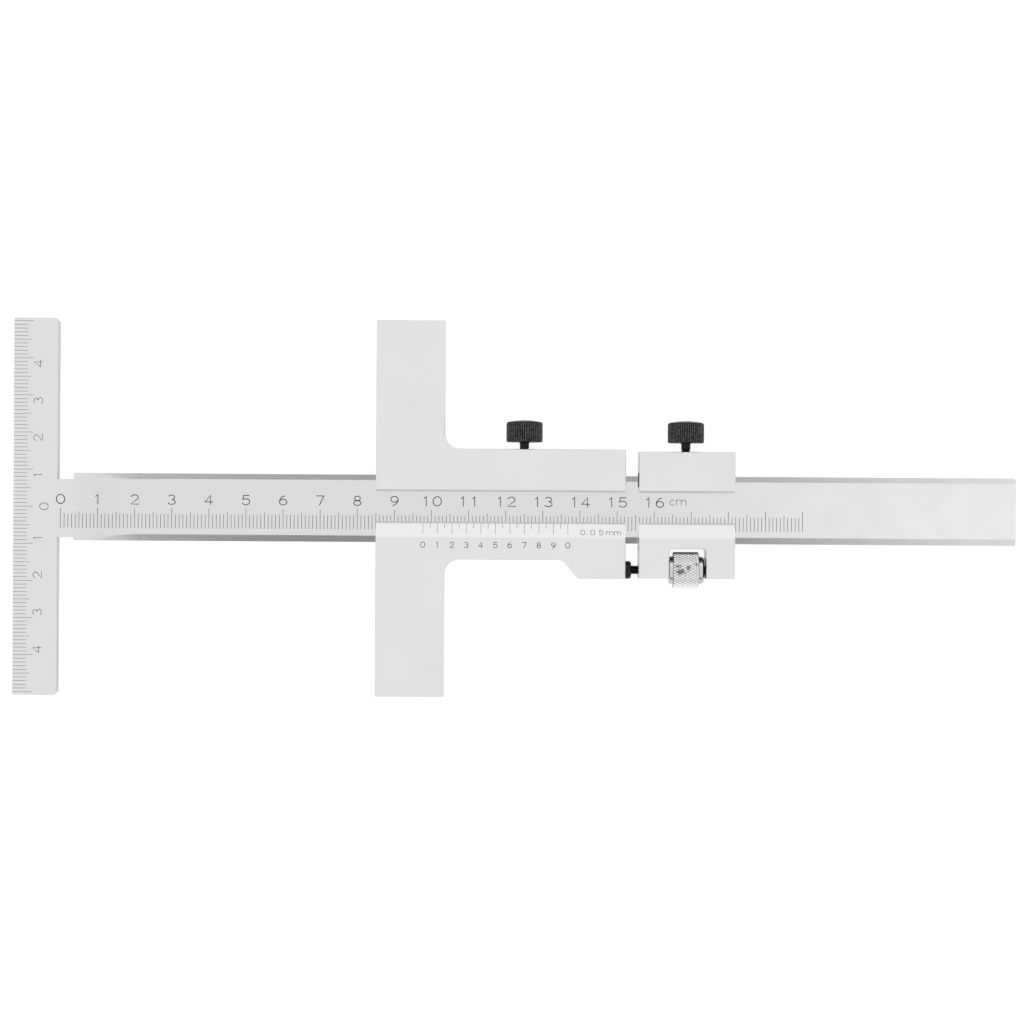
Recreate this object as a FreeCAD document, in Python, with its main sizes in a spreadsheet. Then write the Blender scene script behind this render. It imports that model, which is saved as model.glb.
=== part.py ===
"""T-shaped vernier marking gauge: a T-shaped rule, a cross base that slides on it, a fine adjustment.

Every body is drawn with X along the beam, away from the blade, Y across it and Z towards the scales.
The rule's own X starts at the zero line of its scale. The gauge lies on the backs of slide and clamp.
"""

import FreeCAD, Part
import math
import os
import Sketcher

DIMENSIONS = (
    # the T-shaped rule
    ("plate_thickness", 4.0, "rule: thickness of the ground plate"),
    ("edge_to_zero", 12.7, "blade: from its outer edge to the scale's zero"),
    ("blade_width", 11.8, "blade: from its outer to its inner edge"),
    ("cross_length", 101.7, "blade: across the beam"),
    ("blade_corner", 0.9, "blade: corner taken off beside the neck"),
    ("neck_end", 3.5, "neck: scale zero to the start of the full beam"),
    ("neck_above", 7.4, "neck: centreline to its upper edge"),
    ("neck_below", 8.3, "neck: centreline to its lower edge"),
    ("beam_width", 18.2, "beam: across its ground edges"),
    ("beam_reach", 257.5, "beam: scale zero to plain end"),
    ("bevel_above", 1.5, "beam: width of the upper bevel"),
    ("bevel_below", 1.75, "beam: width of the lower bevel"),
    ("bevel_depth", 1.3, "beam: how deep both bevels cut the edges"),
    ("wheel_radius", 80.0, "beam: radius in which the bevels run out"),
    ("runout_end", 21.8, "beam: scale zero to the full bevel"),
    # what slide and clamp share
    ("body_thickness", 9.0, "slide and clamp: back face to front face"),
    ("back_wall", 2.9, "slide and clamp: wall behind the beam"),
    ("running_clearance", 0.05, "gap round the beam in its channel"),
    ("lip_above", 5.1, "reading slot: centreline to the upper lip"),
    ("lip_below", 3.9, "reading slot: centreline to the vernier lip"),
    ("lip_bevel_end", 7.65, "vernier lip: centreline to the end of its bevel"),
    ("lip_edge", 0.2, "vernier lip: thickness of its thin edge"),
    ("edge_break", 0.15, "slide and clamp: outer edges taken off"),
    # cross base and slide
    ("slide_place", 85.05, "scale zero to the guide face of the base"),
    ("base_set_back", 0.25, "cross base: how far its ends stay inside the blade's"),
    ("base_width", 18.4, "cross base: along the beam"),
    ("slide_length", 67.2, "slide: guide face to its other end"),
    ("slide_above", 16.2, "slide: centreline to its upper edge"),
    ("slide_below", 13.6, "slide: centreline to its lower edge"),
    ("inner_radius", 4.3, "slide: inner corners beside the base"),
    ("foot_below", 18.55, "foot: centreline to its lower edge"),
    ("foot_length", 12.75, "foot: length of its lower edge"),
    ("slope_length", 4.3, "foot: length of the slope that leads to it"),
    ("slope_radius", 2.5, "foot: rounding where the slope starts"),
    # clamp
    ("clamp_gap", 3.6, "slide to clamp, as set"),
    ("clamp_length", 25.85, "clamp: along the beam"),
    ("clamp_above", 15.7, "clamp: centreline to its upper edge"),
    ("clamp_below", 18.4, "clamp: centreline to its lower edge"),
    ("cheek_length", 8.2, "clamp: cheek on the slide's side of the window"),
    ("window_clearance", 0.9, "window: gap above the nut"),
    ("window_radius", 0.8, "window: its inner corners"),
    ("nut_end_play", 0.5, "window: how much longer it is than the nut"),
    ("nut_rest_gap", 0.05, "window: gap on the nut's loaded side"),
    # gibs
    ("gib_thickness", 0.6, "gib: bronze strip"),
    ("gib_gap", 0.05, "gib: gap to the beam while the lock is eased"),
    ("gib_play", 0.3, "gib: room to back off from the beam"),
    ("gib_end_gap", 0.4, "gib: how far it stays inside each end of its channel"),
    ("gib_dimple_depth", 0.25, "gib: seat of the screw's point"),
    # screws
    ("thread_diameter", 2.5, "all threads, over the crests"),
    ("thread_clearance", 0.04, "radial gap in a threaded hole"),
    ("guide_clearance", 0.08, "radial gap round the fine screw in the clamp"),
    ("seat_clearance", 0.02, "gap round a screw's point in its seat"),
    ("slide_screw_place", 39.9, "slide: guide face to lock screw"),
    ("clamp_screw_place", 12.7, "clamp: its near end to lock screw"),
    ("point_diameter", 1.6, "lock screw: point"),
    ("point_length", 0.5, "lock screw: length of the point"),
    ("shank_length", 8.6, "lock screw: under its head"),
    ("flare", 0.35, "lock screw: fillet under its head"),
    ("head_diameter", 9.8, "lock screw: over the knurl"),
    ("head_height", 5.95, "lock screw: head"),
    ("head_edge", 0.3, "lock screw: lower edge of the head taken off"),
    ("crown_width", 0.4, "lock screw: bevel round the crown"),
    ("crown_drop", 0.5, "lock screw: how far the crown falls to that bevel"),
    ("knurl_teeth", 48, "lock screw: teeth of the straight knurl"),
    ("knurl_depth", 0.24, "lock screw: depth of the knurl"),
    ("fine_axis_below", 16.2, "fine screw: centreline to its axis"),
    ("stud_length", 9.0, "fine screw: threaded into the foot"),
    ("collar_diameter", 4.8, "fine screw: collar"),
    ("collar_length", 1.65, "fine screw: collar"),
    ("collar_edge", 0.4, "fine screw: edge of the collar taken off"),
    ("fine_screw_reach", 27.6, "fine screw: foot to its free end"),
    ("lead_in", 0.4, "all screws: bevel on the first thread"),
    # nut
    ("nut_diameter", 9.8, "nut: over the knurl"),
    ("nut_length", 9.4, "nut: along its axis"),
    ("nut_boss_diameter", 7.5, "nut: ring on the slide's side"),
    ("nut_boss_length", 1.05, "nut: the same ring"),
    ("nut_ring_diameter", 7.3, "nut: ring on the other side"),
    ("nut_ring_length", 1.4, "nut: the same ring"),
    ("nut_ring_edge", 0.4, "nut: edge of the same ring taken off"),
    ("nut_edge", 0.15, "nut: edges of the knurl beside the rings"),
)

doc = FreeCAD.newDocument("marking_gauge")
sheet = doc.addObject("Spreadsheet::Sheet", "Sizes")
for row, (alias, value, meaning) in enumerate(DIMENSIONS, start=1):
    sheet.set(f"A{row}", meaning)
    sheet.set(f"B{row}", str(value))
    sheet.setAlias(f"B{row}", alias)
doc.recompute()

# lengths that several bodies share, written once as formulas on the sheet
CENTRE = "(Sizes.beam_reach - Sizes.edge_to_zero) / 2"
BLADE_INNER = "(Sizes.blade_width - Sizes.edge_to_zero)"
RULE_BACK = "(Sizes.back_wall + Sizes.running_clearance)"
CHANNEL_FRONT = f"({RULE_BACK} + Sizes.plate_thickness + Sizes.running_clearance)"
CHANNEL_LOW = "(Sizes.beam_width / 2 + Sizes.running_clearance)"
GIB_LOW = "(Sizes.beam_width / 2 + Sizes.gib_gap)"
GIB_HIGH = f"({GIB_LOW} + Sizes.gib_thickness)"
CHANNEL_HIGH = f"({GIB_HIGH} + Sizes.gib_play)"
AXIS_HEIGHT = f"({RULE_BACK} + Sizes.plate_thickness / 2)"
SCREW_TIP = f"({GIB_HIGH} - Sizes.gib_dimple_depth + Sizes.seat_clearance)"
CLAMP_PLACE = "(Sizes.slide_place + Sizes.slide_length + Sizes.clamp_gap)"
WINDOW_LENGTH = "(Sizes.nut_length + Sizes.nut_end_play)"
THREAD_RADIUS = "(Sizes.thread_diameter / 2)"
THREADED_BORE = "Sizes.thread_diameter + 2 * Sizes.thread_clearance"
HEAD_TOP = "(Sizes.shank_length + Sizes.head_height)"


def new_body(label, x, y="0", z="0"):
    """An empty body whose place is tied to the sheet. Its x is counted from the scale's zero."""
    body = doc.addObject("PartDesign::Body", label)
    body.Label = label
    body.setExpression(".Placement.Base.x", f"{x} - {CENTRE}")
    body.setExpression(".Placement.Base.y", y)
    body.setExpression(".Placement.Base.z", z)
    return body


def plane_sketch(body, name, role, offset="0"):
    """An empty sketch on one of the body's own origin planes, moved along that plane's normal."""
    plane = next(item for item in body.Origin.OriginFeatures if item.Role == role)
    sketch = body.newObject("Sketcher::SketchObject", name)
    sketch.AttachmentSupport = [(plane, "")]
    sketch.MapMode = "FlatFace"
    sketch.setExpression(".AttachmentOffset.Base.z", offset)
    return sketch


def hold(sketch, kind, geometry, point, formula, start):
    """Tie one coordinate of a point to a formula, as a distance from the sketch's origin."""
    index = sketch.addConstraint(Sketcher.Constraint(kind, -1, 1, geometry, point, start))
    sketch.setExpression(f"Constraints[{index}]", formula)


def outline(body, name, role, corners, offset="0"):
    """A closed outline of straight lines. Each corner is a pair of formulas."""
    sketch = plane_sketch(body, name, role, offset)
    count = len(corners)
    turn = 2 * math.pi / count
    ring = [FreeCAD.Vector(math.cos(turn * i), math.sin(turn * i), 0) for i in range(count)]
    for i in range(count):
        sketch.addGeometry(Part.LineSegment(ring[i], ring[(i + 1) % count]), False)
    for i in range(count):
        sketch.addConstraint(Sketcher.Constraint("Coincident", i, 2, (i + 1) % count, 1))
    for i, (across, up) in enumerate(corners):
        hold(sketch, "DistanceX", i, 1, across, ring[i].x)
        hold(sketch, "DistanceY", i, 1, up, ring[i].y)
    doc.recompute()
    return sketch


def circle(body, name, role, across, up, diameter, offset="0"):
    """One circle, with its centre and its diameter tied to formulas."""
    sketch = plane_sketch(body, name, role, offset)
    sketch.addGeometry(Part.Circle(FreeCAD.Vector(1, 1, 0), FreeCAD.Vector(0, 0, 1), 1), False)
    hold(sketch, "DistanceX", 0, 3, across, 1)
    hold(sketch, "DistanceY", 0, 3, up, 1)
    index = sketch.addConstraint(Sketcher.Constraint("Diameter", 0, 2))
    sketch.setExpression(f"Constraints[{index}]", diameter)
    doc.recompute()
    return sketch


def pad(body, name, sketch, length):
    """Material from a sketch, along its normal."""
    feature = body.newObject("PartDesign::Pad", name)
    feature.Profile = sketch
    feature.setExpression("Length", length)
    doc.recompute()
    return feature


def cut(body, name, sketch, length=None, along_normal=False):
    """Take a sketch out of the body: to a depth, or right through. It has to remove something."""
    before = body.Shape.Volume
    feature = body.newObject("PartDesign::Pocket", name)
    feature.Profile = sketch
    feature.Reversed = along_normal
    if length is None:
        feature.Type = "ThroughAll"
    else:
        feature.setExpression("Length", length)
    doc.recompute()
    if feature.Shape.Volume >= before:
        raise RuntimeError(f"{name} removed nothing")
    return feature


def turned(body, name, sketch, axis):
    """A full turn of a profile about one of its sketch's own axes."""
    feature = body.newObject("PartDesign::Revolution", name)
    feature.Profile = sketch
    feature.ReferenceAxis = (sketch, [axis])
    feature.Angle = 360
    doc.recompute()
    return feature


def edges_where(feature, test):
    """Names of the feature's edges whose bounding box passes a test."""
    edges = feature.Shape.Edges
    return [f"Edge{i}" for i, edge in enumerate(edges, start=1) if test(edge.BoundBox)]


def same(a, b):
    """Whether two lengths are equal, apart from rounding."""
    return abs(a - b) < 1e-4


def dress(body, kind, name, edges, size):
    """A chamfer or a fillet on named edges of the body's last feature."""
    base = body.Tip
    if not edges:
        raise RuntimeError(f"{name} found no edge")
    feature = body.newObject(f"PartDesign::{kind}", name)
    feature.Base = (base, edges)
    feature.setExpression("Size" if kind == "Chamfer" else "Radius", size)
    doc.recompute()
    return feature


def upright_edge(feature, x, y):
    """The edge parallel to Z that stands at x, y."""

    def stands_here(box):
        upright = box.ZLength > 1 and same(box.XLength, 0) and same(box.YLength, 0)
        return upright and same(box.XMin, x) and same(box.YMin, y)

    return edges_where(feature, stands_here)


def edge_bevel(body, name, side, width):
    """One bevelled edge of the beam, ground with the rim of a wheel. side is 1 above and -1 below.

    The outline stands on end, along X and along the bevel's normal. Next to the neck the bevel runs
    out in the arc of the wheel's rim.
    """
    sketch = plane_sketch(body, f"{name}_outline", "XY_Plane", "Sizes.plate_thickness")
    sketch.AttachmentOffset = FreeCAD.Placement(
        FreeCAD.Vector(0, 0, 0), FreeCAD.Rotation(FreeCAD.Vector(1, 0, 0), 90)
    )
    sketch.setExpression(".AttachmentOffset.Base.y", f"{side} * (Sizes.beam_width / 2 - {width})")
    slant = f"90 - {side} * atan(Sizes.bevel_depth / {width}) / 1 deg"
    sketch.setExpression(".AttachmentOffset.Rotation.Angle", slant)

    start, full, wheel = sheet.neck_end, sheet.runout_end, sheet.wheel_radius
    rim, far = wheel - math.sqrt(wheel**2 - (full - start) ** 2), sheet.beam_reach
    corners = ((full, 0), (far, 0), (far, wheel), (start, wheel), (start, rim))
    points = [FreeCAD.Vector(x, y, 0) for x, y in corners]
    wheel_circle = Part.Circle(FreeCAD.Vector(full, wheel, 0), FreeCAD.Vector(0, 0, 1), wheel)
    rim_angle = math.atan2(rim - wheel, start - full)
    sketch.addGeometry(Part.ArcOfCircle(wheel_circle, rim_angle, -math.pi / 2), False)
    for a, b in zip(points, points[1:]):
        sketch.addGeometry(Part.LineSegment(a, b), False)
    for i in range(4):
        sketch.addConstraint(Sketcher.Constraint("Coincident", i, 2, i + 1, 1))
    sketch.addConstraint(Sketcher.Constraint("Coincident", 4, 2, 0, 1))
    hold(sketch, "DistanceX", 0, 3, "Sizes.runout_end", full)
    hold(sketch, "DistanceY", 0, 3, "Sizes.wheel_radius", wheel)
    index = sketch.addConstraint(Sketcher.Constraint("Radius", 0, wheel))
    sketch.setExpression(f"Constraints[{index}]", "Sizes.wheel_radius")
    hold(sketch, "DistanceX", 1, 1, "Sizes.runout_end", full)
    hold(sketch, "DistanceX", 2, 1, "Sizes.beam_reach", far)
    sketch.addConstraint(Sketcher.Constraint("PointOnObject", 2, 1, -1))
    sketch.addConstraint(Sketcher.Constraint("Vertical", 2))
    hold(sketch, "DistanceY", 3, 1, "Sizes.wheel_radius", wheel)
    sketch.addConstraint(Sketcher.Constraint("Horizontal", 3))
    sketch.addConstraint(Sketcher.Constraint("Vertical", 4))
    hold(sketch, "DistanceX", 4, 1, "Sizes.neck_end", start)
    doc.recompute()
    cut(body, name, sketch, f"{width} + Sizes.bevel_depth", along_normal=side < 0)


def make_beam():
    """The T-shaped rule: blade, neck and beam in one plate, with bevelled beam edges."""
    body = new_body("beam", "0", "0", RULE_BACK)
    outer, half_blade = "-Sizes.edge_to_zero", "Sizes.cross_length / 2"
    half_beam, neck = "Sizes.beam_width / 2", "Sizes.neck_end"
    corners = [
        (outer, f"-{half_blade}"),
        (BLADE_INNER, f"-{half_blade}"),
        (BLADE_INNER, "-Sizes.neck_below"),
        (neck, "-Sizes.neck_below"),
        (neck, f"-{half_beam}"),
        ("Sizes.beam_reach", f"-{half_beam}"),
        ("Sizes.beam_reach", half_beam),
        (neck, half_beam),
        (neck, "Sizes.neck_above"),
        (BLADE_INNER, "Sizes.neck_above"),
        (BLADE_INNER, half_blade),
        (outer, half_blade),
    ]
    plate = pad(body, "plate", outline(body, "plate_outline", "XY_Plane", corners), "Sizes.plate_thickness")
    inner, end = sheet.blade_width - sheet.edge_to_zero, sheet.cross_length / 2
    inner_corners = upright_edge(plate, inner, end) + upright_edge(plate, inner, -end)
    dress(body, "Chamfer", "blade_corners", inner_corners, "Sizes.blade_corner")
    edge_bevel(body, "upper_bevel", 1, "Sizes.bevel_above")
    edge_bevel(body, "lower_bevel", -1, "Sizes.bevel_below")
    top = sheet.plate_thickness

    def plain_end(box):
        on_face = same(box.ZMin, top) and same(box.ZMax, top)
        return on_face and same(box.XMin, sheet.beam_reach) and box.YLength > 1

    dress(body, "Chamfer", "end_bevel", edges_where(body.Tip, plain_end), "Sizes.edge_break")
    return body


def cut_channel(body):
    """The T-shaped channel for beam and gib, with the reading slot and the bevelled vernier lip."""
    front = "Sizes.body_thickness"
    corners = [
        (f"-{CHANNEL_LOW}", "Sizes.back_wall"),
        (CHANNEL_HIGH, "Sizes.back_wall"),
        (CHANNEL_HIGH, CHANNEL_FRONT),
        ("Sizes.lip_above", CHANNEL_FRONT),
        ("Sizes.lip_above", front),
        ("-Sizes.lip_bevel_end", front),
        ("-Sizes.lip_below", f"{CHANNEL_FRONT} + Sizes.lip_edge"),
        ("-Sizes.lip_below", CHANNEL_FRONT),
        (f"-{CHANNEL_LOW}", CHANNEL_FRONT),
    ]
    cut(body, "channel", outline(body, "channel_outline", "YZ_Plane", corners), along_normal=True)


def cut_lock_hole(body, place):
    """The threaded hole from the channel up to the edge on which the lock screw stands."""
    start = "-Sizes.beam_width / 2"
    hole = circle(body, "lock_hole_outline", "XZ_Plane", place, AXIS_HEIGHT, THREADED_BORE, start)
    cut(body, "lock_hole", hole)


def break_outer_edges(body):
    """Take the sharp edges off the front and back outlines, but not off the reading slot."""
    front = sheet.body_thickness
    slot_edges = (sheet.lip_above, -sheet.lip_bevel_end)

    def outer(box):
        flat = same(box.ZLength, 0) and (same(box.ZMin, 0) or same(box.ZMin, front))
        along_slot = same(box.YLength, 0) and any(same(box.YMin, y) for y in slot_edges)
        return flat and not along_slot

    dress(body, "Chamfer", "broken_edges", edges_where(body.Tip, outer), "Sizes.edge_break")


def make_slide_body():
    """Cross base and vernier slide in one piece. Its own X starts at the guide face."""
    body = new_body("slide_body", "Sizes.slide_place")
    half_base = "(Sizes.cross_length / 2 - Sizes.base_set_back)"
    foot_start = "Sizes.slide_length - Sizes.foot_length"
    slope_start = f"{foot_start} - Sizes.slope_length"
    corners = [
        ("0", f"-{half_base}"),
        ("Sizes.base_width", f"-{half_base}"),
        ("Sizes.base_width", "-Sizes.slide_below"),
        (slope_start, "-Sizes.slide_below"),
        (foot_start, "-Sizes.foot_below"),
        ("Sizes.slide_length", "-Sizes.foot_below"),
        ("Sizes.slide_length", "Sizes.slide_above"),
        ("Sizes.base_width", "Sizes.slide_above"),
        ("Sizes.base_width", half_base),
        ("0", half_base),
    ]
    block = pad(body, "block", outline(body, "block_outline", "XY_Plane", corners), "Sizes.body_thickness")
    upper_corner = upright_edge(block, sheet.base_width, sheet.slide_above)
    lower_corner = upright_edge(block, sheet.base_width, -sheet.slide_below)
    dress(body, "Fillet", "inner_corners", upper_corner + lower_corner, "Sizes.inner_radius")
    slope_x = sheet.slide_length - sheet.foot_length - sheet.slope_length
    slope_corner = upright_edge(body.Tip, slope_x, -sheet.slide_below)
    dress(body, "Fillet", "slope_corner", slope_corner, "Sizes.slope_radius")
    cut_channel(body)
    cut_lock_hole(body, "Sizes.slide_screw_place")
    end = "Sizes.slide_length - Sizes.stud_length - Sizes.lead_in"
    axis = "-Sizes.fine_axis_below"
    stud_hole = circle(body, "stud_hole_outline", "YZ_Plane", axis, AXIS_HEIGHT, THREADED_BORE, end)
    cut(body, "stud_hole", stud_hole, along_normal=True)
    break_outer_edges(body)
    return body


def make_clamp_body():
    """The fine-adjustment clamp, with its window for the nut. Its own X starts at the slide's side."""
    body = new_body("clamp_body", CLAMP_PLACE)
    corners = [
        ("0", "-Sizes.clamp_below"),
        ("Sizes.clamp_length", "-Sizes.clamp_below"),
        ("Sizes.clamp_length", "Sizes.clamp_above"),
        ("0", "Sizes.clamp_above"),
    ]
    pad(body, "block", outline(body, "block_outline", "XY_Plane", corners), "Sizes.body_thickness")
    cut_channel(body)
    window_top = "-(Sizes.fine_axis_below - Sizes.nut_diameter / 2 - Sizes.window_clearance)"
    window_end = f"Sizes.cheek_length + {WINDOW_LENGTH}"
    window = [
        ("Sizes.cheek_length", "-Sizes.clamp_below"),
        (window_end, "-Sizes.clamp_below"),
        (window_end, window_top),
        ("Sizes.cheek_length", window_top),
    ]
    cut(body, "window", outline(body, "window_outline", "XY_Plane", window), along_normal=True)
    top = -(sheet.fine_axis_below - sheet.nut_diameter / 2 - sheet.window_clearance)
    end = sheet.cheek_length + sheet.nut_length + sheet.nut_end_play
    window_corners = upright_edge(body.Tip, sheet.cheek_length, top) + upright_edge(body.Tip, end, top)
    dress(body, "Fillet", "window_corners", window_corners, "Sizes.window_radius")
    cut_lock_hole(body, "Sizes.clamp_screw_place")
    bore = "Sizes.thread_diameter + 2 * Sizes.guide_clearance"
    guide = circle(body, "guide_outline", "YZ_Plane", "-Sizes.fine_axis_below", AXIS_HEIGHT, bore)
    cut(body, "guide_hole", guide, along_normal=True)
    break_outer_edges(body)
    return body


def make_gib(label, place, length, screw_place):
    """A bronze strip between beam and channel, with a seat for the point of its lock screw."""
    body = new_body(label, f"{place} + Sizes.gib_end_gap", GIB_LOW, RULE_BACK)
    end = f"{length} - 2 * Sizes.gib_end_gap"
    corners = [("0", "0"), (end, "0"), (end, "Sizes.gib_thickness"), ("0", "Sizes.gib_thickness")]
    pad(body, "strip", outline(body, "strip_outline", "XY_Plane", corners), "Sizes.plate_thickness")
    seat = "Sizes.point_diameter + 4 * Sizes.seat_clearance"
    depth = "-(Sizes.gib_thickness - Sizes.gib_dimple_depth)"
    centre = f"{screw_place} - Sizes.gib_end_gap"
    dimple = circle(body, "seat_outline", "XZ_Plane", centre, "Sizes.plate_thickness / 2", seat, depth)
    cut(body, "seat", dimple)
    return body


def make_lock_screw(label, place):
    """A lock screw: point, thread and knurled head. Its own Y starts at the point."""
    body = new_body(label, place, SCREW_TIP, AXIS_HEIGHT)
    point, head = "Sizes.point_diameter / 2", "Sizes.head_diameter / 2"
    corners = [
        ("0", "0"),
        (point, "0"),
        (point, "Sizes.point_length"),
        (THREAD_RADIUS, "Sizes.point_length + Sizes.lead_in"),
        (THREAD_RADIUS, "Sizes.shank_length - 2 * Sizes.flare"),
        (f"{THREAD_RADIUS} + Sizes.flare", "Sizes.shank_length"),
        (f"{head} - Sizes.head_edge", "Sizes.shank_length"),
        (head, "Sizes.shank_length + Sizes.head_edge"),
        (head, f"{HEAD_TOP} - Sizes.crown_drop - Sizes.crown_width"),
        (f"{head} - Sizes.crown_width", f"{HEAD_TOP} - Sizes.crown_drop"),
        ("0", HEAD_TOP),
    ]
    turned(body, "screw", outline(body, "screw_profile", "XY_Plane", corners), "V_Axis")
    rim = f"{head} + Sizes.knurl_depth / 2"
    half_groove = "1.5 * Sizes.knurl_depth"
    groove = [(f"{head} - Sizes.knurl_depth", "0"), (rim, f"-{half_groove}"), (rim, half_groove)]
    sketch = outline(body, "knurl_outline", "XZ_Plane", groove, "-Sizes.shank_length")
    first = cut(body, "knurl_groove", sketch, "Sizes.head_height")
    knurl = body.newObject("PartDesign::PolarPattern", "knurl")
    knurl.Originals = [first]
    axis = next(item for item in body.Origin.OriginFeatures if item.Role == "Y_Axis")
    knurl.Axis = (axis, [""])
    knurl.Angle = 360
    knurl.setExpression("Occurrences", "Sizes.knurl_teeth")
    body.Tip = knurl
    doc.recompute()
    return body


def make_fine_screw():
    """The fine-adjustment screw. Its own X starts at the foot's end, against which its collar sits."""
    body = new_body(
        "fine_adjust_screw", "Sizes.slide_place + Sizes.slide_length", "-Sizes.fine_axis_below", AXIS_HEIGHT
    )
    collar = "Sizes.collar_diameter / 2"
    corners = [
        ("-Sizes.stud_length", "0"),
        ("-Sizes.stud_length", f"{THREAD_RADIUS} - Sizes.lead_in"),
        ("-Sizes.stud_length + Sizes.lead_in", THREAD_RADIUS),
        ("0", THREAD_RADIUS),
        ("0", collar),
        ("Sizes.collar_length - Sizes.collar_edge", collar),
        ("Sizes.collar_length", f"{collar} - Sizes.collar_edge"),
        ("Sizes.collar_length", THREAD_RADIUS),
        ("Sizes.fine_screw_reach - Sizes.lead_in", THREAD_RADIUS),
        ("Sizes.fine_screw_reach", f"{THREAD_RADIUS} - Sizes.lead_in"),
        ("Sizes.fine_screw_reach", "0"),
    ]
    turned(body, "screw", outline(body, "screw_profile", "XY_Plane", corners), "H_Axis")
    return body


def make_fine_nut():
    """The captive nut: a knurled drum between two smaller rings."""
    place = f"{CLAMP_PLACE} + Sizes.cheek_length + Sizes.nut_rest_gap"
    body = new_body("fine_adjust_nut", place, "-Sizes.fine_axis_below", AXIS_HEIGHT)
    outer, ring = "Sizes.nut_diameter / 2", "Sizes.nut_ring_diameter / 2"
    length, drum_end = "Sizes.nut_length", "Sizes.nut_length - Sizes.nut_ring_length"
    bore = f"{THREAD_RADIUS} + Sizes.thread_clearance"
    corners = [
        ("0", bore),
        ("0", "Sizes.nut_boss_diameter / 2"),
        ("Sizes.nut_boss_length", "Sizes.nut_boss_diameter / 2"),
        ("Sizes.nut_boss_length", f"{outer} - Sizes.nut_edge"),
        ("Sizes.nut_boss_length + Sizes.nut_edge", outer),
        (f"{drum_end} - Sizes.nut_edge", outer),
        (drum_end, f"{outer} - Sizes.nut_edge"),
        (drum_end, ring),
        (f"{length} - Sizes.nut_ring_edge", ring),
        (length, f"{ring} - Sizes.nut_ring_edge"),
        (length, bore),
    ]
    turned(body, "nut", outline(body, "nut_profile", "XY_Plane", corners), "H_Axis")
    return body


def write_nodes(bodies):
    """Check every object and every solid, then write one STEP file for each body."""
    doc.recompute()
    for item in doc.Objects:
        if "Invalid" in item.State or "Error" in item.State:
            raise RuntimeError(f"{item.Label} did not compute")
    for body in bodies:
        shape = body.Shape
        if shape.isNull() or not shape.isValid() or len(shape.Solids) != 1:
            raise RuntimeError(f"{body.Label} is not one sound solid")
    os.makedirs("parts", exist_ok=True)
    for body in bodies:
        body.Shape.exportStep(f"parts/{body.Label}.step")
        box = body.Shape.BoundBox
        print(f"{body.Label}: {box.XLength:.2f} x {box.YLength:.2f} x {box.ZLength:.2f} mm")


SLIDE_SCREW = "Sizes.slide_place + Sizes.slide_screw_place"
CLAMP_SCREW = f"{CLAMP_PLACE} + Sizes.clamp_screw_place"
write_nodes(
    [
        make_beam(),
        make_slide_body(),
        make_gib("slide_gib", "Sizes.slide_place", "Sizes.slide_length", "Sizes.slide_screw_place"),
        make_lock_screw("slide_lock_screw", SLIDE_SCREW),
        make_fine_screw(),
        make_clamp_body(),
        make_gib("clamp_gib", CLAMP_PLACE, "Sizes.clamp_length", "Sizes.clamp_screw_place"),
        make_lock_screw("clamp_lock_screw", CLAMP_SCREW),
        make_fine_nut(),
    ]
)
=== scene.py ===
# %% [markdown]
# # A T-shaped vernier marking gauge
# The gauge is a flat steel rule shaped like a T. A cross base slides along it and reads its place
# to 0.05 mm on a vernier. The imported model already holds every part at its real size, in metres,
# lying on the floor with +X along the beam and +Z out of the ruled faces. This file gives those
# parts their finish and adds what is too fine for a construction model: engraving, threads and
# knurls.

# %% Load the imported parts
import math

import bpy
import numpy as np
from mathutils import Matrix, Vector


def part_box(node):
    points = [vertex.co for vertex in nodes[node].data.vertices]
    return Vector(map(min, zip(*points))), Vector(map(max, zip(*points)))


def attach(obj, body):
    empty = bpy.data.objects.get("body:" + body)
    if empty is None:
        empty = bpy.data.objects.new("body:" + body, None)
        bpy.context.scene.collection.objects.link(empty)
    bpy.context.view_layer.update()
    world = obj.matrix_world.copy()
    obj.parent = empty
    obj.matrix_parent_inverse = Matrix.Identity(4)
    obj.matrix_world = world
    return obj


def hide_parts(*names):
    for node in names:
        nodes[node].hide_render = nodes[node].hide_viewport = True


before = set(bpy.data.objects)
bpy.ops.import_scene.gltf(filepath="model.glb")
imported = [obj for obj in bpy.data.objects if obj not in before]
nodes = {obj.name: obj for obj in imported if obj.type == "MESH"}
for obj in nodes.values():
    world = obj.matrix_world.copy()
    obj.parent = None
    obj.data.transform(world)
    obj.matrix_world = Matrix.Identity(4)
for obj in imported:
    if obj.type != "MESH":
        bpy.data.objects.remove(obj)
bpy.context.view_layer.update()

print("parts:", ", ".join(sorted(nodes)))

# %% [markdown]
# ## Where things are
# Lengths are easiest to think of in millimetres, and Blender wants metres, so one factor turns
# them. The places come from the boxes of the parts themselves: the scale's zero line is 12.7 mm to
# the right of the blade's outer edge. Only what a box can't tell, such as where the bevelled lip of
# the vernier starts and ends, is written here as a size of its own.

# %% Millimetres, and the places read from the parts
MM = 0.001

rule_low, rule_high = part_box("beam")
slide_low, slide_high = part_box("slide_body")
clamp_low, clamp_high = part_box("clamp_body")

EDGE_TO_ZERO = 12.7 * MM
scale_zero = rule_low.x + EDGE_TO_ZERO
guide_face = slide_low.x
rule_face = rule_high.z
slide_face = slide_high.z

LIP_EDGE = -3.9 * MM  # where the vernier's thin edge lies across the beam
LIP_EDGE_HEIGHT = 7.2 * MM  # and how high it stands
LIP_TOP = -7.65 * MM  # where its bevel meets the front face

print(f"zero line at {scale_zero / MM:.2f} mm, rule face at {rule_face / MM:.2f} mm")
print(f"the base stands {(guide_face - rule_low.x) / MM:.2f} mm from the blade's outer edge")

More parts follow.
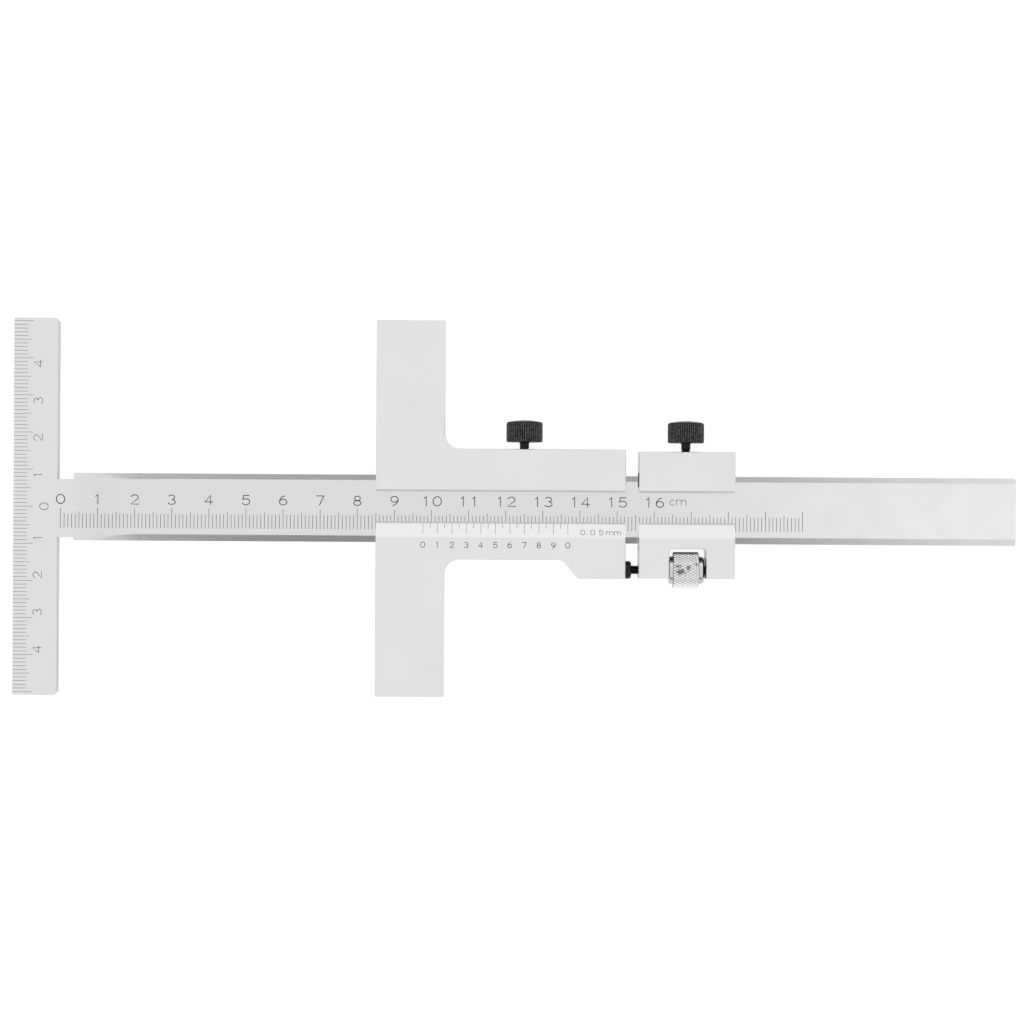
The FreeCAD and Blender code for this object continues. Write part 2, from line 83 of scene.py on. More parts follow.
# %% [markdown]
# ## The camera
# The gauge is looked at from straight above, from an arm's length. From there the sides of whatever
# stands away from the middle just show: the blade's inner wall, the clamp's left end and the walls
# of the nut's window. The gauge should lie as if put down by hand, a third of a degree clockwise,
# so the camera is turned the other way.

# %% A camera at arm's length, straight above
VIEW_WIDTH = 275.95 * MM
CAMERA_DISTANCE = 0.70
CAMERA_CENTRE = (-0.71 * MM, -0.76 * MM)
CAMERA_TURN = 0.0062


def add_object(name, data):
    """An object in the scene that holds a camera, a lamp or a mesh."""
    added = bpy.data.objects.new(name, data)
    bpy.context.scene.collection.objects.link(added)
    return added


camera_data = bpy.data.cameras.new("overhead_camera")
camera_data.lens = camera_data.sensor_width * CAMERA_DISTANCE / VIEW_WIDTH
camera = add_object("overhead_camera", camera_data)
camera.location = (*CAMERA_CENTRE, rule_face + CAMERA_DISTANCE)
camera.rotation_euler = (0, 0, CAMERA_TURN)
bpy.context.scene.camera = camera
bpy.context.scene.view_settings.view_transform = "Standard"
print(f"lens {camera_data.lens:.0f} mm at {CAMERA_DISTANCE} m")

# %% [markdown]
# ## Helpers for materials
# A finish is a small network of nodes. Writing one out takes three steps for each node: make it,
# set its values and link it. One helper does all three, so that a material reads like a recipe.
# Colours are written the way a paint chart gives them, as sRGB hex values, and the renderer works
# with linear light, so a second helper turns one into the other.

# %% Colour and node helpers
def colour(hex_value):
    """An sRGB hex value as linear red, green, blue and alpha."""
    srgb = np.array([int(hex_value[i : i + 2], 16) for i in (1, 3, 5)]) / 255
    linear = np.where(srgb <= 0.04045, srgb / 12.92, ((srgb + 0.055) / 1.055) ** 2.4)
    return (*linear.tolist(), 1.0)


def add_node(tree, kind, inputs=(), **settings):
    """A node with its settings and its inputs, which come by name or in their order.

    kind is the node's type without "ShaderNode" in front. An input is a value, an output of an
    earlier node, or an earlier node itself, which stands for its first output.
    """
    node = tree.nodes.new("ShaderNode" + kind)
    for name, value in settings.items():
        setattr(node, name, value)
    for name, value in inputs.items() if isinstance(inputs, dict) else enumerate(inputs):
        if isinstance(value, bpy.types.Node):
            value = value.outputs[0]
        if isinstance(value, bpy.types.NodeSocket):
            tree.links.new(value, node.inputs[name])
        else:
            node.inputs[name].default_value = value
    return node


def new_finish(name, **values):
    """A material, its node tree and its surface shader with the given constant values."""
    material = bpy.data.materials.new(name)
    material.use_nodes = True
    tree = material.node_tree
    surface = tree.nodes["Principled BSDF"]
    for socket, value in values.items():
        surface.inputs[socket.replace("_", " ")].default_value = value
    print("finish:", name)
    return material, tree, surface


# %% [markdown]
# ## Light
# Bright steel has hardly a colour of its own: what it shows is the room. So the room comes first.
# It is a tent of white cloth, in which shiny goods are lit evenly, with one opening in front of the
# gauge and one behind it. Faces that look up mirror the white roof and stay pale. The ground bevels
# of the beam lean towards the openings and mirror the dark room outside, so they turn grey. The
# openings are narrow: at both ends of the beam the bevels already mirror their white edges and grow
# lighter. A large soft lamp high behind the gauge brightens the vernier's bevel, which leans that
# way.

# %% The white tent and its two openings
CLOTH = 1.0
OUTSIDE = 0.26
SILL = (0.03, 0.15)  # sine of the height where an opening starts, and where it is fully dark
LINTEL = (0.36, 0.50)  # where it starts to end, and where it has ended
JAMB_LEFT = (-0.19, -0.13)  # the same for its two sides, as the sideways part of the direction
JAMB_RIGHT = (0.12, 0.17)
RISE = (0.0, 1.0)
FALL = (1.0, 0.0)

world = bpy.data.worlds.new("white_tent")
bpy.context.scene.world = world
world.use_nodes = True
sky = world.node_tree
direction = add_node(sky, "TexCoord").outputs["Generated"]
sideways, _, upwards = add_node(sky, "SeparateXYZ", [direction]).outputs
limits = []
for value, places, change in (
    (upwards, SILL, RISE),
    (upwards, LINTEL, FALL),
    (sideways, JAMB_LEFT, RISE),
    (sideways, JAMB_RIGHT, FALL),
):
    smooth = [value, *places, *change]
    limits.append(add_node(sky, "MapRange", smooth, interpolation_type="SMOOTHSTEP"))
opening = limits[0]
for limit in limits[1:]:
    opening = add_node(sky, "Math", [opening, limit], operation="MULTIPLY")
dimming = [opening, *RISE, CLOTH, OUTSIDE]
light = add_node(sky, "MapRange", dimming, interpolation_type="SMOOTHSTEP")
sky.links.new(light.outputs[0], sky.nodes["Background"].inputs["Strength"])
sky.nodes["Background"].inputs["Color"].default_value = colour("#FFFFFF")
print("tent with two openings")

# %% One soft lamp
LAMP_HEIGHT = 0.95
LAMP_BEHIND = 1.15
LAMP_SIZE = (1.6, 0.8)
LAMP_POWER = 0.95

lamp_data = bpy.data.lights.new("soft_lamp", "AREA")
lamp_data.shape = "RECTANGLE"
lamp_data.size, lamp_data.size_y = LAMP_SIZE
lamp_data.energy = LAMP_POWER
lamp = add_object("soft_lamp", lamp_data)
lamp.location = (0, LAMP_BEHIND, LAMP_HEIGHT)
lamp.rotation_euler = (-math.atan2(LAMP_BEHIND, LAMP_HEIGHT), 0, 0)
print(f"lamp of {LAMP_POWER} W behind the gauge")

# %% [markdown]
# ## The floor
# The gauge lies on white paper. To the camera the paper shines by itself up to just under white,
# and the rest is an ordinary matt surface that takes the shadow. Their sum is white, and the shadow
# stays soft and faint. In the steel's mirror the matt share is larger, so that walls and gaps close
# to the paper show how dark it really is under the gauge.

# %% A sheet of white paper
FLOOR_RADIUS = 9.0
FLOOR_SIDES = 96
PAPER_GLOW = 0.91
MIRRORED_GLOW = 0.70

paper, tree, surface = new_finish(
    "matt_paper", Roughness=0.9, Specular_IOR_Level=0.1, Base_Color=colour("#EDEDED")
)


def glowing_paper(glow, matt):
    """A shader that shines by itself and adds a matt surface to that."""
    shine = add_node(tree, "Emission", [colour("#FFFFFF"), glow])
    share = add_node(tree, "BsdfDiffuse", [colour(matt)])
    return add_node(tree, "AddShader", [shine, share])


rays = add_node(tree, "LightPath").outputs
straight = [rays["Is Camera Ray"], rays["Is Transmission Ray"]]
direct = add_node(tree, "Math", straight, operation="MAXIMUM")
seen = add_node(tree, "MixShader", [direct, surface, glowing_paper(PAPER_GLOW, "#747474")])
mirrored = glowing_paper(MIRRORED_GLOW, "#909090")
paper_mix = add_node(tree, "MixShader", [rays["Is Glossy Ray"], seen, mirrored])
tree.links.new(paper_mix.outputs[0], tree.nodes["Material Output"].inputs["Surface"])

turn = np.linspace(0, 2 * np.pi, FLOOR_SIDES, endpoint=False)
floor_rim = FLOOR_RADIUS * np.stack([np.cos(turn), np.sin(turn), 0 * turn], -1)
floor_mesh = bpy.data.meshes.new("paper_floor")
floor_mesh.from_pydata(floor_rim.tolist(), [], [list(range(FLOOR_SIDES))])
floor_mesh.materials.append(paper)
floor = add_object("paper_floor", floor_mesh)
print("floor laid")

# %% [markdown]
# ## Patterns that a surface is made of
# Every finish here is a colour and a roughness that change a little from place to place. Two noise
# patterns do that, in real sizes: streaks for what was ground or rolled one way, and specks for
# what was blasted, blackened or wiped. A Map Range node turns a pattern into a tone or a roughness.
# Its inputs are the value, the two limits it comes between, and the two it is turned to.

# %% Streaks, specks, and how they reach a surface
NOISE = (0.25, 0.75)  # nearly all values of a noise pattern lie between these
MIDDLE = (0.35, 0.65)  # a narrower share of them, for more contrast
UPRIGHT = (0.3, 0.6)  # the upward part of a direction, from an upright face to a leaning one


def grain(tree, long, wide):
    """A noise pattern of streaks along X, of a length and a width in metres."""
    place = add_node(tree, "TexCoord").outputs["Object"]
    stretch = {"Vector": place, "Scale": (1 / long, 1 / wide, 1 / wide)}
    streaks = {"Vector": add_node(tree, "Mapping", stretch), "Scale": 1.0, "Detail": 3.0}
    return add_node(tree, "TexNoise", {**streaks, "Roughness": 0.6})


def specks(tree, size, detail, roughness=0.5):
    """A noise pattern of specks of a size in metres."""
    place = add_node(tree, "TexCoord").outputs["Object"]
    evenly = {"Vector": place, "Scale": 1 / size, "Detail": detail, "Roughness": roughness}
    return add_node(tree, "TexNoise", evenly)


def lay_on(tree, surface, hex_value, tone, rough=None, relief=None):
    """Give a surface a colour times a tone, a roughness, and the inputs of a Bump node."""
    base = {0: colour(hex_value)[:3], "Scale": tone}
    toned = add_node(tree, "VectorMath", base, operation="SCALE")
    tree.links.new(toned.outputs[0], surface.inputs["Base Color"])
    if rough is not None:
        tree.links.new(rough.outputs[0], surface.inputs["Roughness"])
    if relief is not None:
        bump = add_node(tree, "Bump", relief)
        tree.links.new(bump.outputs[0], surface.inputs["Normal"])


def patterned(name, hex_value, pattern, sizes, tones, roughs=None, **values):
    """A finish whose tone, and roughness if given, follow one pattern of the given sizes."""
    material, tree, surface = new_finish(name, **values)
    fine = pattern(tree, *sizes)
    tone = add_node(tree, "MapRange", [fine, *NOISE, *tones])
    rough = add_node(tree, "MapRange", [fine, *NOISE, *roughs]) if roughs else None
    lay_on(tree, surface, hex_value, tone, rough)
    return material


def upright_tone(tree, factor):
    """1 on faces that look up or down or lean like a bevel, the factor on upright ones."""
    looks = add_node(tree, "TexCoord").outputs["Normal"]
    up = add_node(tree, "SeparateXYZ", [looks]).outputs["Z"]
    steep = add_node(tree, "Math", [up], operation="ABSOLUTE")
    return add_node(tree, "MapRange", [steep, *UPRIGHT, factor, 1.0])


print("patterns: streaks and specks")

# %% [markdown]
# ## Ground stainless steel, for the rule
# The rule is a plate of hardened stainless steel whose faces were ground on a surface grinder. The
# wheel leaves fine scratches that all run the same way, along the beam. They are a few hundredths
# of a millimetre wide, too fine to show, so they are drawn about ten times as coarse, and they move
# three things a little: the colour, the roughness and the height. Towards its plain end the beam is
# rubbed by the hand that holds it, which changes its roughness, and there the polish is cloudy. Its
# colour is also painted lighter there, as painted light for the brighter reflection at that end.
# The blade was ground in a pass of its own and came out a little lighter.

# %% Ground steel: the grain, the rubbed and painted-lighter end and the lighter blade
GRIND_LONG = 45 * MM
GRIND_WIDE = 0.35 * MM
GRIND_DEEP = 0.0012 * MM
GRIND_TONE = (0.975, 1.015)
CLOUD = 9 * MM
CLOUD_TONE = (-0.03, 0.03)
HAND = (30 * MM, 128 * MM)  # along the beam, where the rubbing starts and where it is full
HAND_AND_LIGHT_TONE = 0.15
BLADE_ENDS = (-123 * MM, -112 * MM)
BLADE_TONE = 0.06

ground_steel, tree, surface = new_finish("ground_stainless_steel", Metallic=1.0)
streaks = grain(tree, GRIND_LONG, GRIND_WIDE)
place = add_node(tree, "TexCoord").outputs
along, across, _ = add_node(tree, "SeparateXYZ", [place["Object"]]).outputs
rubbed = add_node(tree, "MapRange", [along, *HAND, *RISE])
clouds = specks(tree, CLOUD, detail=4.0, roughness=0.55)
cloud_tone = add_node(tree, "MapRange", [clouds, *MIDDLE, *CLOUD_TONE])
cloudy = add_node(tree, "Math", [cloud_tone, rubbed], operation="MULTIPLY")
tone = add_node(tree, "MapRange", [streaks, *NOISE, *GRIND_TONE])
# Painted light as well as rubbing: towards the plain end the colour is painted lighter.
rub_and_light_tone = add_node(tree, "MapRange", [rubbed, *RISE, 0.0, HAND_AND_LIGHT_TONE])
blade_tone = add_node(tree, "MapRange", [along, *BLADE_ENDS, BLADE_TONE, 0.0])
for more in (rub_and_light_tone, blade_tone, cloudy):
    tone = add_node(tree, "Math", [tone, more], operation="ADD")
print(f"streaks {GRIND_WIDE / MM} mm wide")

# %% [markdown]
# The plate's upright sides were only milled and stayed darker, and their darker tone is also
# painted shade. Beside the neck, where the bevels run out, the grinding wheel was lifted off: it
# chattered, so the bevels start dull and clear up within two centimetres. There the strip between
# the bevel's end and the plate's edge is painted darker, its flat part most of all: a painted shade
# that stands in for the bevel's dark reflection, so that the bevel seems to start sooner.

# %% Ground steel: sides, the strip's painted shade and the run-out
SIDE_TONE_AND_SHADE = 0.84
STRIP = (7.35 * MM, 7.65 * MM)  # from the centreline, where the strip of the bevels begins
STRIP_LEFT = (-114 * MM, -110 * MM)
STRIP_RIGHT = (-100 * MM, -93 * MM)
STRIP_SHADE_TONE = 0.965
FLAT = (0.985, 0.995)  # the upward part of a direction, from leaning to flat
PAINTED_BEVEL_SHADE = (-109 * MM, -99.5 * MM)
PAINTED_BEVEL_SHADE_DARK = 0.38
RUN_OUT = (-112 * MM, -99 * MM)
RUN_OUT_ROUGH = 0.35
HAND_ROUGH = (0.20, 0.26)
GRIND_ROUGH = (-0.03, 0.03)

off_middle = add_node(tree, "Math", [across], operation="ABSOLUTE")
strip = add_node(tree, "MapRange", [off_middle, *STRIP, *RISE])
for limits, change in ((STRIP_RIGHT, FALL), (STRIP_LEFT, RISE)):
    end = add_node(tree, "MapRange", [along, *limits, *change])
    strip = add_node(tree, "Math", [strip, end], operation="MULTIPLY")
# Painted shade: the strip where the bevels run out is darkened a little.
strip_shade_tone = add_node(tree, "MapRange", [strip, *RISE, 1.0, STRIP_SHADE_TONE])
up = add_node(tree, "SeparateXYZ", [place["Normal"]]).outputs["Z"]
flat = add_node(tree, "MapRange", [up, *FLAT, *RISE])
flat = add_node(tree, "Math", [flat, strip], operation="MULTIPLY")
# Painted shade: the flat part of that strip is darkened more, in place of the bevel's dark
# reflection.
painted_bevel_shade = add_node(tree, "MapRange", [along, *PAINTED_BEVEL_SHADE, 0.0, PAINTED_BEVEL_SHADE_DARK])
painted_bevel_shade = add_node(tree, "Math", [painted_bevel_shade, flat], operation="MULTIPLY")
painted_bevel_shade_tone = add_node(tree, "Math", [1.0, painted_bevel_shade], operation="SUBTRACT")
# The upright sides' darker tone is partly milled finish and partly painted shade.
for factor in (upright_tone(tree, SIDE_TONE_AND_SHADE), strip_shade_tone, painted_bevel_shade_tone):
    tone = add_node(tree, "Math", [tone, factor], operation="MULTIPLY")

rough = add_node(tree, "MapRange", [rubbed, *RISE, *HAND_ROUGH])
streak_rough = add_node(tree, "MapRange", [streaks, *NOISE, *GRIND_ROUGH])
dull = add_node(tree, "MapRange", [along, *RUN_OUT, RUN_OUT_ROUGH, 0.0])
for more in (streak_rough, dull):
    rough = add_node(tree, "Math", [rough, more], operation="ADD")
scratches = {"Height": streaks, "Strength": 0.6, "Distance": GRIND_DEEP}
lay_on(tree, surface, "#DCDCDC", tone, rough, scratches)
print("sides, strip and run-out added to", ground_steel.name)

# %% [markdown]
# ## Satin chrome, for the slide and the clamp
# Slide and clamp are milled from steel, blasted with fine glass beads and chromed. Blasting leaves
# a skin of tiny dents with no direction, which scatters the light evenly: it is the reason why such
# faces don't dazzle while a scale is read. The dents are a twentieth of a millimetre across and are
# drawn at three times that. Two walls of the nut's window, which no cloth reaches, are painted dark
# as painted shade, and the bright nut mirrors them: the upper one, and the right one beside the
# nut.
# The shade knows a wall only by its place across or along the beam, so it also draws a hair-thin
# line on the other upright faces that cross that place, such as the ends of slide and clamp.

# %% Satin chrome
DENT = 0.15 * MM
DENT_DEEP = 0.0015 * MM
DENT_TONE = (-0.012, 0.012)
SMUDGE = 14 * MM
SMUDGE_TONE = (0.985, 1.015)
SATIN_ROUGH = (0.33, 0.39)
UPPER_WALL = -10.4 * MM  # across the beam
RIGHT_WALL = 51.55 * MM  # along it
BESIDE_NUT = (-13.0 * MM, -12.6 * MM)
WALL_FADE = (0.1 * MM, 0.2 * MM)
UPPER_WALL_SHADE = 0.3
RIGHT_WALL_SHADE = 0.12

satin_chrome, tree, surface = new_finish("bead_blasted_satin_chrome", Metallic=1.0)
place = add_node(tree, "TexCoord").outputs["Object"]
along, across, _ = add_node(tree, "SeparateXYZ", [place]).outputs
dents = specks(tree, DENT, detail=2.0)
smudges = specks(tree, SMUDGE, detail=3.0)
dent_tone = add_node(tree, "MapRange", [dents, *NOISE, *DENT_TONE])
smudge_tone = add_node(tree, "MapRange", [smudges, *MIDDLE, *SMUDGE_TONE])
tone = add_node(tree, "Math", [dent_tone, smudge_tone], operation="ADD")
upright = add_node(tree, "Math", [1.0, upright_tone(tree, 0.0)], operation="SUBTRACT")
beside_nut = add_node(tree, "MapRange", [across, *BESIDE_NUT, *FALL])
# Painted shade: the window's upper wall, and its right wall beside the nut, are darkened in colour.
for value, wall, darkest, shares in (
    (across, UPPER_WALL, UPPER_WALL_SHADE, [upright]),
    (along, RIGHT_WALL, RIGHT_WALL_SHADE, [beside_nut, upright]),
):
    off_wall = add_node(tree, "Math", [value, wall], operation="SUBTRACT")
    off_wall = add_node(tree, "Math", [off_wall], operation="ABSOLUTE")
    painted_wall_shade = add_node(tree, "MapRange", [off_wall, *WALL_FADE, *FALL])
    for share in shares:
        painted_wall_shade = add_node(tree, "Math", [painted_wall_shade, share], operation="MULTIPLY")
    painted_wall_shade_tone = add_node(tree, "MapRange", [painted_wall_shade, *RISE, 1.0, darkest])
    tone = add_node(tree, "Math", [tone, painted_wall_shade_tone], operation="MULTIPLY")
rough = add_node(tree, "MapRange", [smudges, *NOISE, *SATIN_ROUGH])
pits = {"Height": dents, "Strength": 0.5, "Distance": DENT_DEEP}
lay_on(tree, surface, "#E2E2E2", tone, rough, pits)

# %% [markdown]
# ## Black oxide, for the screws
# The screws are blackened in hot salts, which turns the steel's own surface into a thin layer of
# black iron oxide. It is not paint: it keeps the machined surface below it, takes a trace of oil
# and has a dull sheen. Fingers have rubbed it thin on the crests of the heads' teeth, where it
# looks grey. That depends on how far a point is from the screw's axis, so the distance is worked
# out first.

# %% Black oxide
OXIDE_MOTTLE = 0.5 * MM
OXIDE_TONE = (0.75, 1.25)
OXIDE_ROUGH = (0.30, 0.46)
HEAD_RADIUS = 4.9 * MM
CREST = (HEAD_RADIUS - 0.16 * MM, HEAD_RADIUS)
BEYOND = (HEAD_RADIUS + 0.02 * MM, HEAD_RADIUS + 0.04 * MM)


def middle(name):
    """The middle of a part's box."""
    low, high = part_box(name)
    return (low + high) / 2


def from_axis(tree, axis, across):
    """The distance from an axis through a point. across is 1 off the axis and 0 along it."""
    place = add_node(tree, "TexCoord").outputs["Object"]
    apart = add_node(tree, "VectorMath", [place, axis], operation="SUBTRACT")
    flat = add_node(tree, "VectorMath", [apart, across], operation="MULTIPLY")
    return add_node(tree, "VectorMath", [flat], operation="LENGTH").outputs["Value"]


black_oxide, tree, surface = new_finish(
    "oiled_black_oxide",
    Metallic=0.25,
    Specular_IOR_Level=0.12,
    Coat_Weight=0.25,
    Coat_Roughness=0.3,
)
mottle = specks(tree, OXIDE_MOTTLE, detail=4.0)
from_screws = [
    from_axis(tree, middle(screw), (1, 0, 1)) for screw in ("slide_lock_screw", "clamp_lock_screw")
]
nearest = add_node(tree, "Math", from_screws, operation="MINIMUM")
worn = add_node(tree, "MapRange", [nearest, *CREST, *RISE])
on_head = add_node(tree, "MapRange", [nearest, *BEYOND, *FALL])
rubbed_thin = add_node(tree, "MapRange", [mottle, *MIDDLE, *RISE])
for share in (on_head, rubbed_thin):
    worn = add_node(tree, "Math", [worn, share], operation="MULTIPLY")
oxide_tone = add_node(tree, "MapRange", [mottle, *NOISE, *OXIDE_TONE])
oxide = {0: colour("#161618")[:3], "Scale": oxide_tone}
oxide = add_node(tree, "VectorMath", oxide, operation="SCALE")
rubbed_oxide = add_node(tree, "MixRGB", [worn, oxide, colour("#7A7A7C")])
tree.links.new(rubbed_oxide.outputs["Color"], surface.inputs["Base Color"])
rough = add_node(tree, "MapRange", [mottle, *NOISE, *OXIDE_ROUGH])
tree.links.new(rough.outputs[0], surface.inputs["Roughness"])
print("worn from", round(CREST[0] / MM, 2), "mm off the axis")

# %% [markdown]
# ## Bright steel and bronze
# The nut is left bright, but its knurl is painted dark in the grooves up to just below the crests:
# partly grease that fills them, partly painted shade for the shade the grooves hold. At a few spots
# dark patches with ragged edges are painted over the crests too, as painted reflections of dark
# surroundings. The rings beside the knurl are cleaner. The gibs are rolled bronze strip, and only
# their ends show.

# %% The nut's steel with grease, painted shade and painted reflections, and bronze
NUT_RADIUS = 4.9 * MM
# The grooves are darkened for grease and as painted shade.
GROOVE = (NUT_RADIUS - 0.20 * MM, NUT_RADIUS - 0.15 * MM)  # from greasy to clean, off the axis
GROOVE_TONE = 0.2
RINGS = (NUT_RADIUS - 0.70 * MM, NUT_RADIUS - 0.60 * MM)
RING_TONE = 0.68
NUT_SPECK = 0.35 * MM
REFLECTION_SPOT_RAGGED = (-1.3 * MM, 1.3 * MM)  # how far the specks move the edge of a spot
SPOT_TONE = 0.25
SPOT_FADE = 1.3
NUT_ROUGH = (0.16, 0.26)
# Dark spots painted over the knurl as painted reflections of dark surroundings.
PAINTED_REFLECTION_SPOTS = (  # from the nut's middle in mm, round from its top in degrees, radius in mm
    (-2.1, 5, 0.55),
    (-1.1, 4, 0.50),
    (0.4, -9, 0.45),
    (-2.4, -14, 0.35),
    (2.8, -19, 0.35),
    (1.5, 110, 0.6),
    (-0.8, 150, 0.6),
    (2.2, 200, 0.5),
    (-1.9, 260, 0.6),
)

# The nut's steel: grease and painted shade in the grooves, painted reflections in dark spots.
bright_steel, tree, surface = new_finish("bright_knurled_steel_grease_and_painted_shade", Metallic=1.0)
place = add_node(tree, "TexCoord").outputs["Object"]
nut_middle = middle("fine_adjust_nut")
distance = from_axis(tree, nut_middle, (0, 1, 1))
# Painted shade, together with grease: the knurl is darker below its crests.
crests = add_node(tree, "MapRange", [distance, *GROOVE, GROOVE_TONE, 1.0])
rings = add_node(tree, "MapRange", [distance, *RINGS, RING_TONE, 0.0])
clean_and_lit = add_node(tree, "Math", [crests, rings], operation="MAXIMUM")
patches = specks(tree, NUT_SPECK, detail=1.0)
ragged = add_node(tree, "MapRange", [patches, *RISE, *REFLECTION_SPOT_RAGGED])
outside = []
# Each spot is a painted reflection, darker inside its ragged edge.
for from_middle, degrees, radius in PAINTED_REFLECTION_SPOTS:
    turn = math.radians(degrees)
    off_axis = (from_middle * MM, -NUT_RADIUS * math.sin(turn), NUT_RADIUS * math.cos(turn))
    spot = [a + b for a, b in zip(nut_middle, off_axis)]
    away = add_node(tree, "VectorMath", [place, spot], operation="DISTANCE").outputs["Value"]
    edge = add_node(tree, "Math", [away, ragged], operation="ADD")
    fade = (radius * MM, SPOT_FADE * radius * MM)
    outside.append(add_node(tree, "MapRange", [edge, *fade, SPOT_TONE, 1.0]))
painted_reflection_tone = outside[0]
for other in outside[1:]:
    painted_reflection_tone = add_node(tree, "Math", [painted_reflection_tone, other], operation="MINIMUM")
tone = add_node(tree, "Math", [clean_and_lit, painted_reflection_tone], operation="MULTIPLY")
rough = add_node(tree, "MapRange", [patches, *NOISE, *NUT_ROUGH])
lay_on(tree, surface, "#F4F4F4", tone, rough)

ROLLED = (12 * MM, 0.2 * MM)  # length and width of the streaks that rolling leaves
ROLLED_TONE = (0.9, 1.05)
ROLLED_ROUGH = (0.28, 0.38)
bronze_strip = patterned(
    "rolled_spring_bronze", "#C79A5B", grain, ROLLED, ROLLED_TONE, ROLLED_ROUGH, Metallic=1.0
)
# Counts the dark spots painted over the knurl as painted reflections.
print(len(PAINTED_REFLECTION_SPOTS), "spots of grease on the nut")

# %% [markdown]
# ## Engraver's ink
# The graduations are cut with a point, filled with black enamel and wiped flush. Enamel is matt and
# never quite black, because light scatters in it. In the fine lines the wiping leaves less of it
# than in the numerals, so they look a little paler.

# %% Engraver's enamel
INK_SPECK = 0.08 * MM
INK_TONE = (0.7, 1.3)

numeral_ink, line_ink = (
    patterned(name, hex_value, specks, (INK_SPECK, 2.0), INK_TONE, Roughness=0.55)
    for name, hex_value in (("wiped_black_enamel", "#38383A"), ("thin_black_enamel", "#646466"))
)

# %% [markdown]
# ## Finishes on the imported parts
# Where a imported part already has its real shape, nothing is modelled again: it keeps its mesh and
# its place, and only its material slot gets the finish.

# %% Put the finishes on
for name, finish in {
    "beam": ground_steel,
    "slide_body": satin_chrome,
    "clamp_body": satin_chrome,
    "slide_gib": bronze_strip,
    "clamp_gib": bronze_strip,
}.items():
    nodes[name].material_slots[0].material = finish
    print(name, "->", finish.name)

# %% [markdown]
# ## Surfaces from two parameters
# Screws and nut are turned parts, so each is a radius that depends on two parameters: how far along
# the axis, and the angle around it. A plain turned part uses only the first. A knurl or a thread
# adds a little pattern that uses both. The grid of points is then joined into quads, and the two
# ends close on a point of the axis.

# %% From a grid of points to a mesh
def grid_quads(rows, around):
    """Quads between the rows of a grid of points. Every row closes on itself."""
    row = np.arange(rows - 1)[:, None] * around
    here = np.arange(around)
    after = (here + 1) % around
    corners = [row + here, row + around + here, row + around + after, row + after]
    return np.stack(corners, -1).reshape(-1, 4)


def turned_points(along, radius):
    """Points about X: along holds each row's place, radius each point's distance.

    A point is (along, radius times cosine, radius times sine) of its angle.
    """
    around = radius.shape[1]
    angle = np.arange(around) * 2 * np.pi / around
    rings = [np.repeat(along[:, None], around, 1), radius * np.cos(angle), radius * np.sin(angle)]
    return np.stack(rings, -1).reshape(-1, 3)


def turned_shell(along, radius):
    """A closed shell of turned points, whose two ends are fans about a point of the axis."""
    rows, around = radius.shape
    ends = [(along[0], 0, 0), (along[-1], 0, 0)]
    points = np.concatenate([turned_points(along, radius), ends])
    here = np.arange(around)
    after = (here + 1) % around
    last = (rows - 1) * around
    start_fan = np.stack([here * 0 + rows * around, here, after], -1)
    end_fan = np.stack([here * 0 + rows * around + 1, last + after, last + here], -1)
    return points, grid_quads(rows, around).tolist() + start_fan.tolist() + end_fan.tolist()


def join(*shells):
    """Several shells of points and faces as one."""
    points, faces, count = [], [], 0
    for shell_points, shell_faces in shells:
        points.append(shell_points)
        faces += [[i + count for i in face] for face in shell_faces]
        count += len(shell_points)
    return np.concatenate(points), faces


def make_piece(name, shell, finish, body, smooth_angle=None):
    """An object from points and faces, that moves with a body of the frame."""
    points, faces = shell
    mesh = bpy.data.meshes.new(name)
    mesh.from_pydata(np.asarray(points).tolist(), [], faces)
    mesh.materials.append(finish)
    mesh.update()
    if smooth_angle is not None:
        mesh.shade_smooth()
        mesh.set_sharp_from_angle(angle=smooth_angle)
    piece = add_object(name, mesh)
    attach(piece, body)
    print(f"{name}: {len(points)} points, {len(faces)} faces")
    return piece


# %% [markdown]
# ## Threads
# A screw thread is a groove that climbs one pitch in each turn. On a turned part that means: the
# groove's depth depends on the place along the axis minus the climb of the angle. The wave is cut
# off flat at crest and root, as a rolled thread is, and it fades in over half a turn at each end.
# All the gauge's threads are M2.5 with a pitch of 0.45 mm, right-handed.

# %% A right-hand thread
PITCH = 0.45 * MM
THREAD_RADIUS = 1.25 * MM
THREAD_DEPTH = 0.22 * MM
THREAD_ROWS = 8  # rows of points in one pitch
THREAD_AROUND = 40
THREAD_CREST = 0.12  # share of the wave's swing that stays uncut
THREAD_FLANK = 0.70  # share in which it cuts down to the root
CREASE = math.radians(35)  # edges sharper than this stay crisp


def thread_cut(along, around, start, end):
    """How deep the thread cuts at each point of a grid, from start to end along the axis.

    A triangle wave of along / pitch - angle / full turn, cut off flat at both ends of its swing,
    times a ramp that is 1 inside the thread and falls to 0 over half a pitch at its ends.
    """
    turn = np.arange(around) / around
    phase = (along[:, None] / PITCH - turn) % 1
    wave = np.clip((np.abs(2 * phase - 1) - THREAD_CREST) / THREAD_FLANK, 0, 1)
    inside = np.minimum(along - start, end - along) / (PITCH / 2)
    return THREAD_DEPTH * wave * np.clip(inside, 0, 1)[:, None]


def rows_between(start, end, step):
    """Evenly spaced places from start to end, no further apart than step."""
    return np.linspace(start, end, max(2, math.ceil((end - start) / step) + 1))


def turned_profile(corners, along):
    """The radius at each place along a profile whose corners are (along, radius) pairs."""
    places, radii = np.array(corners).T
    return np.interp(along, places, radii)


print(f"one pitch is {PITCH / MM} mm in {THREAD_ROWS} rows")

